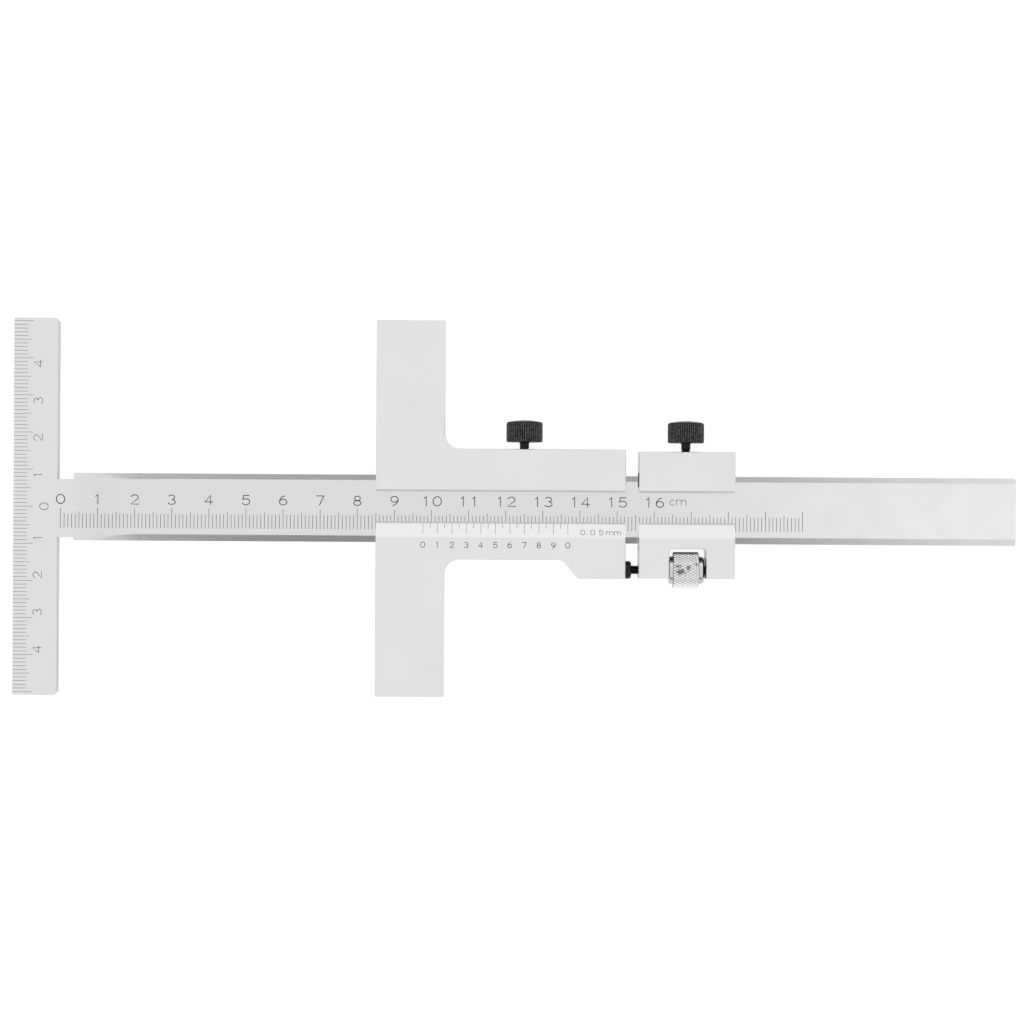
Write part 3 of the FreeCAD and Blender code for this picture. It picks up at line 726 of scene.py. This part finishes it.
# %% [markdown]
# ## The lock screws
# A lock screw ends in a small flat point that presses the gib against the beam. Its head is pressed
# between straight-toothed wheels, which squeeze 48 fine teeth into its rim for the fingers, and its
# top is turned to a slight dome. Shank and head need very different grids: a thread has many rows
# and few points around, teeth the other way round. So they are two closed shells, the shank let
# into the head, and one mesh. The last millimetre under the head is plain, where the thread's die
# has to stop.

# %% Two lock screws
POINT_RADIUS = 0.8 * MM
POINT_LENGTH = 0.5 * MM
POINT_BEVEL = 0.3  # share of the point's length
POINT_TIP = 0.9  # share of its radius
POINT_LAST_ROW = 0.98  # share of its length, just before the thread begins
LEAD = 0.4 * MM
SHANK_LENGTH = 8.6 * MM
PLAIN_NECK = 0.9 * MM
FLARE = 0.35 * MM  # how far the neck widens into the head
FLARE_LENGTH = 2 * FLARE
HEAD_HEIGHT = 5.95 * MM
HEAD_EDGE = 0.3 * MM
CROWN_BEVEL = 0.4 * MM
CROWN_DROP = 0.5 * MM
TEETH = 48
TOOTH_POINTS = 8
TOOTH_DEPTH = 0.24 * MM
TOOTH_STEEP = 1.25  # how much steeper than a triangle wave, so that crest and root are flat
TOOTH_CREST = 0.1
RIM_ROWS = 8
DOME_ROWS = 12
DOME_TIP = 0.02


def lock_screw_shell():
    """A lock screw about X, with its point at zero: a threaded shank and a toothed head."""
    flare_start = SHANK_LENGTH - FLARE_LENGTH
    thread_end = flare_start - PLAIN_NECK
    shank_rows = np.concatenate(
        [
            [0, POINT_LENGTH * POINT_LAST_ROW],
            rows_between(POINT_LENGTH, thread_end, PITCH / THREAD_ROWS),
            rows_between(flare_start, SHANK_LENGTH, FLARE / 3),
            [SHANK_LENGTH + HEAD_EDGE],
        ]
    )
    shank = turned_profile(
        [
            (0, POINT_RADIUS * POINT_TIP),
            (POINT_LENGTH * POINT_BEVEL, POINT_RADIUS),
            (POINT_LENGTH, POINT_RADIUS),
            (POINT_LENGTH + LEAD, THREAD_RADIUS),
            (SHANK_LENGTH + HEAD_EDGE, THREAD_RADIUS),
        ],
        shank_rows,
    )
    flare = np.clip((shank_rows - flare_start) / FLARE_LENGTH, 0, 1)
    shank = shank + FLARE * (1 - np.sqrt(1 - flare**2))
    cut = thread_cut(shank_rows, THREAD_AROUND, POINT_LENGTH + LEAD / 2, thread_end)
    shank_shell = turned_shell(shank_rows, shank[:, None] - cut)

    crown_start = SHANK_LENGTH + HEAD_HEIGHT - CROWN_DROP
    rim = np.linspace(SHANK_LENGTH + HEAD_EDGE, crown_start - CROWN_BEVEL, RIM_ROWS)
    dome = np.linspace(1, DOME_TIP, DOME_ROWS)
    dome_rows = crown_start + CROWN_DROP * (1 - dome**2)
    head_rows = np.concatenate([[SHANK_LENGTH] * 2, rim, dome_rows])
    under = [THREAD_RADIUS, HEAD_RADIUS - HEAD_EDGE]
    crown = (HEAD_RADIUS - CROWN_BEVEL) * dome
    head = np.concatenate([under, [HEAD_RADIUS] * RIM_ROWS, crown])
    toothed = np.concatenate([[0, 0], [1] * RIM_ROWS, [0] * DOME_ROWS])
    turn = np.arange(TEETH * TOOTH_POINTS) / TOOTH_POINTS
    tooth = np.clip(TOOTH_STEEP * np.abs(2 * (turn % 1) - 1) - TOOTH_CREST, 0, 1)
    head = head[:, None] - TOOTH_DEPTH * toothed[:, None] * tooth
    return join(shank_shell, turned_shell(head_rows, head))


for node_name, body in (("slide_lock_screw", "slide_lock"), ("clamp_lock_screw", "clamp_lock")):
    low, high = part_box(node_name)
    points, faces = lock_screw_shell()
    foot = ((low.x + high.x) / 2, low.y, (low.z + high.z) / 2)
    points = points[:, [2, 0, 1]] + foot  # turned from along X to along Y
    screw = make_piece(f"{node_name}_knurled", (points, faces), black_oxide, body, CREASE)
    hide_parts(node_name)

# %% [markdown]
# ## The fine-adjustment screw
# This screw is fixed in the slide's foot up to its collar. The clamp slides on it and its nut runs
# on it, so the nut draws the slide along by hair's breadths once the clamp is locked.

# %% The fine-adjustment screw
STUD = 9.0 * MM
COLLAR_RADIUS = 2.4 * MM
COLLAR_LENGTH = 1.65 * MM
COLLAR_EDGE = 0.4 * MM
COLLAR_BACK_EDGE = 0.06 * MM
COLLAR_AROUND = 64
FINE_THREAD_ROWS = 6

low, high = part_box("fine_adjust_screw")
screw_length = high.x - low.x
shank_rows = rows_between(0, screw_length, PITCH / FINE_THREAD_ROWS)
shank = turned_profile(
    [
        (0, THREAD_RADIUS - LEAD),
        (LEAD, THREAD_RADIUS),
        (screw_length - LEAD, THREAD_RADIUS),
        (screw_length, THREAD_RADIUS - LEAD),
    ],
    shank_rows,
)
shank_cut = thread_cut(shank_rows, THREAD_AROUND, LEAD, screw_length - LEAD / 2)
collar_corners = [
    (0, THREAD_RADIUS),
    (0, COLLAR_RADIUS - COLLAR_BACK_EDGE),
    (COLLAR_BACK_EDGE, COLLAR_RADIUS),
    (COLLAR_LENGTH - COLLAR_EDGE, COLLAR_RADIUS),
    (COLLAR_LENGTH, COLLAR_RADIUS - COLLAR_EDGE),
    (COLLAR_LENGTH, THREAD_RADIUS),
]
collar_rows, collar = np.array(collar_corners).T
points, faces = join(
    turned_shell(shank_rows, shank[:, None] - shank_cut),
    turned_shell(STUD + collar_rows, np.repeat(collar[:, None], COLLAR_AROUND, 1)),
)
points = points + (low.x, (low.y + high.y) / 2, (low.z + high.z) / 2)
screw = make_piece("fine_adjust_screw_threaded", (points, faces), black_oxide, "slide", CREASE)
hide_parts("fine_adjust_screw")

# %% [markdown]
# ## The diamond-knurled nut
# The nut is a drum between two smaller rings. The drum was rolled between two wheels with slanted
# teeth, one leaning left and one leaning right, at 30 degrees to the axis. Each leaves a family of
# V-shaped grooves, and what stands between them is a field of small pyramids with worn tips. The
# height of a point is therefore the smaller of its distances to the two families, cut off at the
# tips. Both distances are triangle waves of the angle plus or minus the place along the axis. The
# real knurl has a quarter more grooves and is drawn a little coarser, so that it still shows from
# an arm's length.

# %% The knurled nut
NUT_BORE = 1.29 * MM
BOSS_RADIUS = 3.75 * MM
BOSS_LENGTH = 1.05 * MM
NUT_EDGE = 0.15 * MM
RING_RADIUS = 3.65 * MM
RING_LENGTH = 1.4 * MM
RING_EDGE = 0.4 * MM
GROOVES = 38
GROOVE_POINTS = 8
GROOVE_SLANT = math.radians(30)
KNURL_DEPTH = 0.25 * MM
KNURL_STEEP = 1.9  # how much steeper than the triangle waves, so that the tips are flat
NUT_CREASE = math.radians(25)

low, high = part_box("fine_adjust_nut")
nut_length = high.x - low.x
drum_end = nut_length - RING_LENGTH
groove_spacing = 2 * math.pi * NUT_RADIUS / GROOVES
diamond_length = groove_spacing / math.tan(GROOVE_SLANT)
knurl_step = diamond_length / GROOVE_POINTS
knurl_rows = rows_between(BOSS_LENGTH + NUT_EDGE, drum_end - NUT_EDGE, knurl_step)
shoulder = NUT_RADIUS - NUT_EDGE - KNURL_DEPTH
before_drum = [
    (0, NUT_BORE),
    (0, BOSS_RADIUS - NUT_EDGE),
    (NUT_EDGE, BOSS_RADIUS),
    (BOSS_LENGTH, BOSS_RADIUS),
    (BOSS_LENGTH, shoulder),
]
behind_drum = [
    (drum_end, shoulder),
    (drum_end, RING_RADIUS),
    (nut_length - RING_EDGE, RING_RADIUS),
    (nut_length, RING_RADIUS - RING_EDGE),
    (nut_length, NUT_BORE),
]
drum = [(row, NUT_RADIUS) for row in knurl_rows]
nut_rows, nut_radius = np.array(before_drum + drum + behind_drum).T
knurled = np.repeat([0, 1, 0], [len(before_drum), len(drum), len(behind_drum)])
turn = np.arange(GROOVES * GROOVE_POINTS) / GROOVE_POINTS
climb = nut_rows[:, None] / diamond_length
leaning_right = np.abs(2 * ((turn + climb) % 1) - 1)
leaning_left = np.abs(2 * ((turn - climb) % 1) - 1)
pyramid = np.clip(KNURL_STEEP * np.minimum(leaning_right, leaning_left), 0, 1)
nut_surface = nut_radius[:, None] - KNURL_DEPTH * knurled[:, None] * (1 - pyramid)
nut_start = (low.x, (low.y + high.y) / 2, (low.z + high.z) / 2)
points = turned_points(nut_rows, nut_surface) + nut_start
entry = np.arange(len(turn))
bore_wall = len(points) - len(turn) + entry
bore_quads = np.stack([bore_wall, entry, np.roll(entry, -1), np.roll(bore_wall, -1)], -1)
faces = grid_quads(len(nut_rows), len(turn)).tolist() + bore_quads.tolist()
nut = make_piece("fine_adjust_nut_knurled", (points, faces), bright_steel, "nut", NUT_CREASE)
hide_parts("fine_adjust_nut")

# %% [markdown]
# ## Engraving
# Every graduation and numeral is a stroke of one pen: a path with a width. On the real gauge a
# diamond point cuts it and enamel fills it. Here each stroke is a very flat bar that stands a
# hundredth of a millimetre proud, too little for a shadow that could be seen. A texture could hold
# the scale as well, but it would blur close up, while a bar stays sharp at any distance.

# %% A stroke as a flat bar along a path
INK_RISE = 0.012 * MM
INK_SINK = 0.01 * MM
TOP_SHARE = 0.9  # the bar's width at its top, against its foot
BLUNTEST = 0.8  # keeps the points of a sharp corner from reaching too far out
ROUND_END = np.array([0.5, 0.85, 0.99])  # places along the quarter circle of an end


def stroke_shell(path, width, closed=False, round_ends=True):
    """A flat bar along a path of x, y points, as points and faces.

    Each path point gets four points: left foot, left top, right top, right foot. They lie across
    the path, half a width from it, and further out in a corner so that the bar keeps its width.
    Round ends add points past the last one whose width falls to nothing in a quarter circle.
    """
    path = np.asarray(path, float)
    step_in = path - np.roll(path, 1, 0)
    step_out = np.roll(step_in, -1, 0)
    if not closed:
        step_in[0], step_out[-1] = step_in[1], step_out[-2]
    ahead_in, ahead_out = (s / np.linalg.norm(s, axis=1)[:, None] for s in (step_in, step_out))
    across = (ahead_in + ahead_out)[:, [1, 0]] * (-1, 1)
    across = across * 2 / np.maximum((across**2).sum(1), BLUNTEST)[:, None]
    half = np.full(len(path), width / 2)
    if round_ends and not closed:
        bow = ROUND_END[:, None] * width / 2
        shrink = np.sqrt(1 - ROUND_END**2) * width / 2
        before, behind = path[0] - ahead_out[0] * bow[::-1], path[-1] + ahead_in[-1] * bow
        path = np.concatenate([before, path, behind])
        across = np.pad(across, ((len(bow), len(bow)), (0, 0)), "edge")
        half = np.concatenate([shrink[::-1], half, shrink])
    side = across * half[:, None]
    foot, top = (1.0, -INK_SINK), (TOP_SHARE, INK_RISE)
    sections = [
        np.column_stack([path + way * share * side, np.full(len(path), level)])
        for way, (share, level) in ((1, foot), (1, top), (-1, top), (-1, foot))
    ]
    points = np.stack(sections, 1).reshape(-1, 3)
    if closed:
        return points, (grid_quads(len(path) + 1, 4) % len(points))[:, ::-1].tolist()
    quads = grid_quads(len(path), 4)[:, ::-1].tolist()
    last = len(points) - 4
    return points, quads + [[0, 1, 2, 3], [last + 3, last + 2, last + 1, last]]


def on_plane(shell, origin, right, up):
    """A shell drawn on a flat sheet, laid on a plane. right and up are the sheet's axes there."""
    points, faces = shell
    right, up = np.array(right, float), np.array(up, float)
    out = np.cross(right, up)
    return np.array(origin, float) + points @ np.stack([right, up, out]), faces


print("strokes rise", INK_RISE / MM, "mm")

# %% [markdown]
# ## Numerals
# An engraving machine follows a stencil, so its numerals are made of single strokes: straight lines
# and arcs of ellipses. Each one is drawn here in a box one unit high, with its foot at zero and its
# middle at x = 0. The nine is the six turned upside down.

# %% The engraver's alphabet
ARC_STEP = 15  # degrees between the points of an arc


def arc(x, y, wide, high, start, end):
    """Points on an ellipse about x, y, from one angle to another in degrees."""
    count = max(3, int(abs(end - start) / ARC_STEP) + 1)
    angle = np.radians(np.linspace(start, end, count))
    return np.stack([x + wide * np.cos(angle), y + high * np.sin(angle)], -1)


def pen(*parts):
    """One open stroke through points and arcs, in order."""
    return np.concatenate([np.atleast_2d(part) for part in parts]), False


def loop(x, y, wide, high):
    """One closed stroke round an ellipse."""
    return arc(x, y, wide, high, 0, 360)[:-1], True


SIX = [pen(arc(0.27, 0.33, 0.62, 0.66, 100, 172)), loop(0, 0.31, 0.35, 0.31)]
GLYPHS = {
    "0": [loop(0, 0.5, 0.40, 0.5)],
    "1": [pen((-0.17, 0.80), (0.03, 1.0), (0.03, 0.0))],
    "2": [pen(arc(0, 0.71, 0.34, 0.29, 165, -32), (-0.36, 0.0), (0.38, 0.0))],
    "3": [pen(arc(-0.02, 0.76, 0.29, 0.24, 150, -80), arc(-0.02, 0.26, 0.36, 0.26, 80, -150))],
    "4": [pen((0.17, 0.0), (0.17, 1.0), (-0.38, 0.28), (0.38, 0.28))],
    "5": [pen((0.30, 1.0), (-0.24, 1.0), (-0.30, 0.55), arc(-0.01, 0.32, 0.37, 0.32, 125, -150))],
    "6": SIX,
    "7": [pen((-0.35, 1.0), (0.35, 1.0), (-0.08, 0.0))],
    "8": [loop(0, 0.76, 0.28, 0.24), loop(0, 0.26, 0.35, 0.26)],
    "9": [((0, 1) - path * (1, 1), closed) for path, closed in SIX],
    "c": [pen(arc(0, 0.35, 0.32, 0.35, 48, 312))],
    "m": [
        pen((-0.60, 0.0), (-0.60, 0.70)),
        pen((-0.60, 0.45), arc(-0.30, 0.45, 0.30, 0.25, 165, 0), (0.0, 0.0)),
        pen((0.0, 0.45), arc(0.30, 0.45, 0.30, 0.25, 165, 0), (0.60, 0.0)),
    ],
    ".": [pen((0.0, 0.0), (0.0, 0.05))],
}


def written(text, height, pen_width, places, stretch=1.0):
    """A text on a flat sheet, with its foot at y = 0. places holds the middle of each character.

    stretch makes every character wider by that factor.
    """
    shells = []
    for character, x in zip(text, places):
        for path, closed in GLYPHS[character]:
            drawn = path * (stretch * height, height) + (x, 0)
            shells.append(stroke_shell(drawn, pen_width, closed))
    return join(*shells)


def spread(count, spacing):
    """The middles of evenly spaced characters, centred on zero."""
    return (np.arange(count) - (count - 1) / 2) * spacing


print(len(GLYPHS), "characters")

# %% [markdown]
# ## The scale on the beam
# 200 graduations of 1 mm start at the zero line, which lies on the neck, just beyond the blade.
# Every fifth is longer and every tenth longer still, and the tens carry their number of
# centimetres. The feet of all lines stand in one row, near the lower bevel.

# %% Graduations and numerals of the beam
TICK_WIDTH = 0.17 * MM
NUMERAL_WIDTH = 0.26 * MM
BEAM_LINES = 201
BEAM_FOOT = -5.7 * MM
BEAM_TOPS = (-1.9 * MM, -1.3 * MM, -0.3 * MM)  # a millimetre, a fifth, a tenth
NUMERAL_FOOT = 0.75 * MM
NUMERAL_HEIGHT = 2.5 * MM
NUMERAL_STRETCH = 1.12
LAST_NUMERAL = 16
TWO_DIGITS = 3.05 * MM
UNIT_PLACE = 166.1 * MM
UNIT_HEIGHT = 2.1 * MM
UNIT_WIDTH = 0.62 * NUMERAL_WIDTH
UNIT_SPACING = 2.35 * MM
UNIT_RAISE = 0.55 * MM


def tick_rank(number):
    """0 for a plain line, 1 for every fifth and 2 for every tenth."""
    return int(number % 5 == 0) + int(number % 10 == 0)


def graduations(name, lines, width, sheet, body):
    """A piece with lines of one width on a sheet, each from one point to another."""
    bars = [stroke_shell(line, width, round_ends=False) for line in lines]
    make_piece(name, on_plane(join(*bars), *sheet), line_ink, body)


LEVEL = ((1, 0, 0), (0, 1, 0))
rule_sheet = ((0, 0, rule_face), *LEVEL)
lines = []
for number in range(BEAM_LINES):
    x = scale_zero + number * MM
    lines.append([(x, BEAM_FOOT), (x, BEAM_TOPS[tick_rank(number)])])
graduations("beam_graduations", lines, TICK_WIDTH, rule_sheet, "beam")

numerals = []
for number in range(LAST_NUMERAL + 1):
    foot = (scale_zero + number * 10 * MM, NUMERAL_FOOT, rule_face)
    places = spread(len(str(number)), TWO_DIGITS)
    text = written(str(number), NUMERAL_HEIGHT, NUMERAL_WIDTH, places, NUMERAL_STRETCH)
    numerals.append(on_plane(text, foot, *LEVEL))
unit_foot = (scale_zero + UNIT_PLACE, NUMERAL_FOOT + UNIT_RAISE, rule_face)
unit = written("cm", UNIT_HEIGHT, UNIT_WIDTH, spread(2, UNIT_SPACING))
numerals.append(on_plane(unit, unit_foot, *LEVEL))
make_piece("beam_numerals", join(*numerals), numeral_ink, "beam")

# %% [markdown]
# ## The scale on the blade
# The blade counts both ways from the beam's middle, 5 cm up and 5 cm down, so that a line can be
# scribed to a given length. Its lines start at the outer edge, and its numerals lie on their side
# and stand between their line and the middle.

# %% Graduations and numerals of the blade
BLADE_LINES = 50
BLADE_NUMERALS = 4
BLADE_TICK_WIDTH = 0.12 * MM
BLADE_TOPS = (3.72 * MM, 4.6 * MM, 5.25 * MM)
BLADE_NUMERAL_FOOT = 7.7 * MM
BLADE_NUMERAL_HEIGHT = 2.3 * MM
BLADE_NUMERAL_WIDTH = 0.17 * MM
BLADE_ZERO_SHIFT = 1.69 * MM
NUMERAL_LAG = 1.5 * MM  # how far a numeral stands from its line, towards the middle

lines = []
for number in range(-BLADE_LINES, BLADE_LINES + 1):
    y = number * MM
    lines.append([(rule_low.x, y), (rule_low.x + BLADE_TOPS[tick_rank(abs(number))], y)])
graduations("blade_graduations", lines, BLADE_TICK_WIDTH, rule_sheet, "beam")

numerals = []
for number in range(-BLADE_NUMERALS, BLADE_NUMERALS + 1):
    foot_x = rule_low.x + BLADE_NUMERAL_FOOT + (BLADE_ZERO_SHIFT if number == 0 else 0)
    foot_y = number * 10 * MM - np.sign(number) * NUMERAL_LAG
    text = written(str(abs(number)), BLADE_NUMERAL_HEIGHT, BLADE_NUMERAL_WIDTH, [0])
    numerals.append(on_plane(text, (foot_x, foot_y, rule_face), (0, 1, 0), (-1, 0, 0)))
make_piece("blade_numerals", join(*numerals), numeral_ink, "beam")

# %% [markdown]
# ## The vernier
# The vernier divides 39 mm into 20 steps, so each is 1.95 mm, 0.05 mm short of two graduations of
# the beam. The line that meets a line of the beam tells the twentieths. Its zero line stands 12.7
# mm from the guide face, as the beam's zero does from the blade's outer edge: the two zeros would
# meet where the guide face is level with that edge, so the reading is the distance between the two.
# The lines run down the lip's bevel to its thin edge, so close to the beam that the reading doesn't
# change with the eye.

# %% Graduations and numerals of the vernier
VERNIER_STEPS = 20
VERNIER_SPAN = 39 * MM
VERNIER_LONG = 3.0 * MM
VERNIER_SHORT = 1.5 * MM
VERNIER_NUMERAL_FOOT = -10.4 * MM
VERNIER_NUMERAL_HEIGHT = 1.45 * MM
VERNIER_TICK_WIDTH = 0.12 * MM
VERNIER_TICK_END = 0.02 * MM  # from the lip's thin edge
VERNIER_NUMERAL_WIDTH = 0.19 * MM
PRECISION_PLACE = 60.4 * MM
PRECISION_FOOT = 0.95 * MM  # up the bevel from its lower end
PRECISION_WIDTH = 0.8 * VERNIER_NUMERAL_WIDTH
PRECISION_PLACES = np.array([-4.69, -3.42, -2.04, 0.23, 2.55, 4.69]) * MM

bevel = np.array([0, LIP_EDGE - LIP_TOP, LIP_EDGE_HEIGHT - slide_face])
bevel_length = np.linalg.norm(bevel)
bevel_up = bevel / bevel_length
bevel_sheet = ((0, LIP_TOP, slide_face), (1, 0, 0), bevel_up)
vernier_zero = guide_face + EDGE_TO_ZERO

lines, numerals = [], []
for step in range(VERNIER_STEPS + 1):
    x = vernier_zero + step * VERNIER_SPAN / VERNIER_STEPS
    length = VERNIER_SHORT if step % 2 else VERNIER_LONG
    lines.append([(x, bevel_length - length), (x, bevel_length - VERNIER_TICK_END)])
    if step % 2 == 0:
        foot = (x, VERNIER_NUMERAL_FOOT, slide_face)
        text = written(str(step // 2 % 10), VERNIER_NUMERAL_HEIGHT, VERNIER_NUMERAL_WIDTH, [0])
        numerals.append(on_plane(text, foot, *LEVEL))
precision = written("0.05mm", VERNIER_NUMERAL_HEIGHT, PRECISION_WIDTH, PRECISION_PLACES)
precision_foot = PRECISION_FOOT * bevel_up + (guide_face + PRECISION_PLACE, LIP_TOP, slide_face)
numerals.append(on_plane(precision, precision_foot, (1, 0, 0), bevel_up))
graduations("vernier_graduations", lines, VERNIER_TICK_WIDTH, bevel_sheet, "slide")
make_piece("vernier_numerals", join(*numerals), numeral_ink, "slide")
print(f"the vernier reads {(vernier_zero - scale_zero) / MM:.2f} mm")

# %% [markdown]
# ## Painted shade along the lips
# A thin dark film lies on the beam's face along the edges of the slide's and the clamp's lips, as
# painted shade for the fine shadow line in the corner between the beam's face and each lip's edge.
# It shows as a fine dark line along each edge. The film is two hundredths of a millimetre thick and
# lies over the engraved strokes without touching them.

# %% Four lines of painted shade
SHADE_LINE_WIDTH = 0.45 * MM
SHADE_LINE_LIFT = INK_SINK + INK_RISE + 0.002 * MM
LIP_ABOVE = 5.1 * MM  # where the upper lip's edge lies across the beam
SHADE_LINE_STREAKS = (6 * MM, 0.3 * MM)
SHADE_LINE_TONE = (0.85, 1.1)
SHADE_LINE_ROUGH = (0.2, 0.3)

# A slightly darker metal film, used as painted shade.
painted_lip_shade = patterned(
    "painted_lip_shade_film", "#C8C8C8", grain, SHADE_LINE_STREAKS, SHADE_LINE_TONE, SHADE_LINE_ROUGH, Metallic=1.0
)

# Painted shade: dark films on the beam's face along the lips' edges.
for body, low, high in (("slide", slide_low, slide_high), ("clamp", clamp_low, clamp_high)):
    films = []
    for y in (LIP_ABOVE - SHADE_LINE_WIDTH / 2, LIP_EDGE + SHADE_LINE_WIDTH / 2):
        films.append(stroke_shell([(low.x, y), (high.x, y)], SHADE_LINE_WIDTH, round_ends=False))
    film_shell = on_plane(join(*films), (0, 0, rule_face + SHADE_LINE_LIFT), *rule_sheet[1:])
    make_piece(f"{body}_painted_shade_lines", film_shell, painted_lip_shade, body)

# %% [markdown]
# ## Painted shade at the channel's mouth
# A thin dark bead lies on the clamp's end, along the upper half of the mouth and just above the
# beam's face, as painted shade for the dark gap of the channel's mouth. It is turned like the
# screws, about its own length, with a thickness that hardly changes until it falls off steeply at
# both ends, and then laid across the beam.

# %% A bead of painted shade
BEAD_RADIUS = 0.22 * MM
BEAD_OUT = 0.12 * MM  # from the clamp's end to the bead's middle
BEAD_LOW = 6.0 * MM  # across the beam, where it starts and ends
BEAD_HIGH = 10.1 * MM
BEAD_LIFT = 0.06 * MM  # above the beam's face
BEAD_TIP = 0.99
BEAD_ROWS = 17
BEAD_AROUND = 12
BEAD_FALL = 8  # the higher this power, the steeper the ends
BEAD_CREASE = 1.0  # in radians
BEAD_STREAKS = (0.5 * MM, 0.2 * MM)
BEAD_STREAK_TONE = (0.7, 1.3)

# Painted shade: a dark bead at the clamp's end, where the channel's mouth is dark.
painted_mouth_shade = patterned("painted_mouth_shade", "#646464", grain, BEAD_STREAKS, BEAD_STREAK_TONE, Roughness=0.6)

reach = np.linspace(-BEAD_TIP, BEAD_TIP, BEAD_ROWS)
thickness = BEAD_RADIUS * (1 - reach**BEAD_FALL)
half_length = (BEAD_HIGH - BEAD_LOW) / 2
points, faces = turned_shell(reach * half_length, np.repeat(thickness[:, None], BEAD_AROUND, 1))
points = np.stack([-points[:, 1], points[:, 0], points[:, 2]], -1)
bead_height = rule_face + BEAD_LIFT + BEAD_RADIUS
points = points + (clamp_low.x - BEAD_OUT, (BEAD_LOW + BEAD_HIGH) / 2, bead_height)
make_piece("clamp_mouth_painted_shade", (points, faces), painted_mouth_shade, "clamp", BEAD_CREASE)
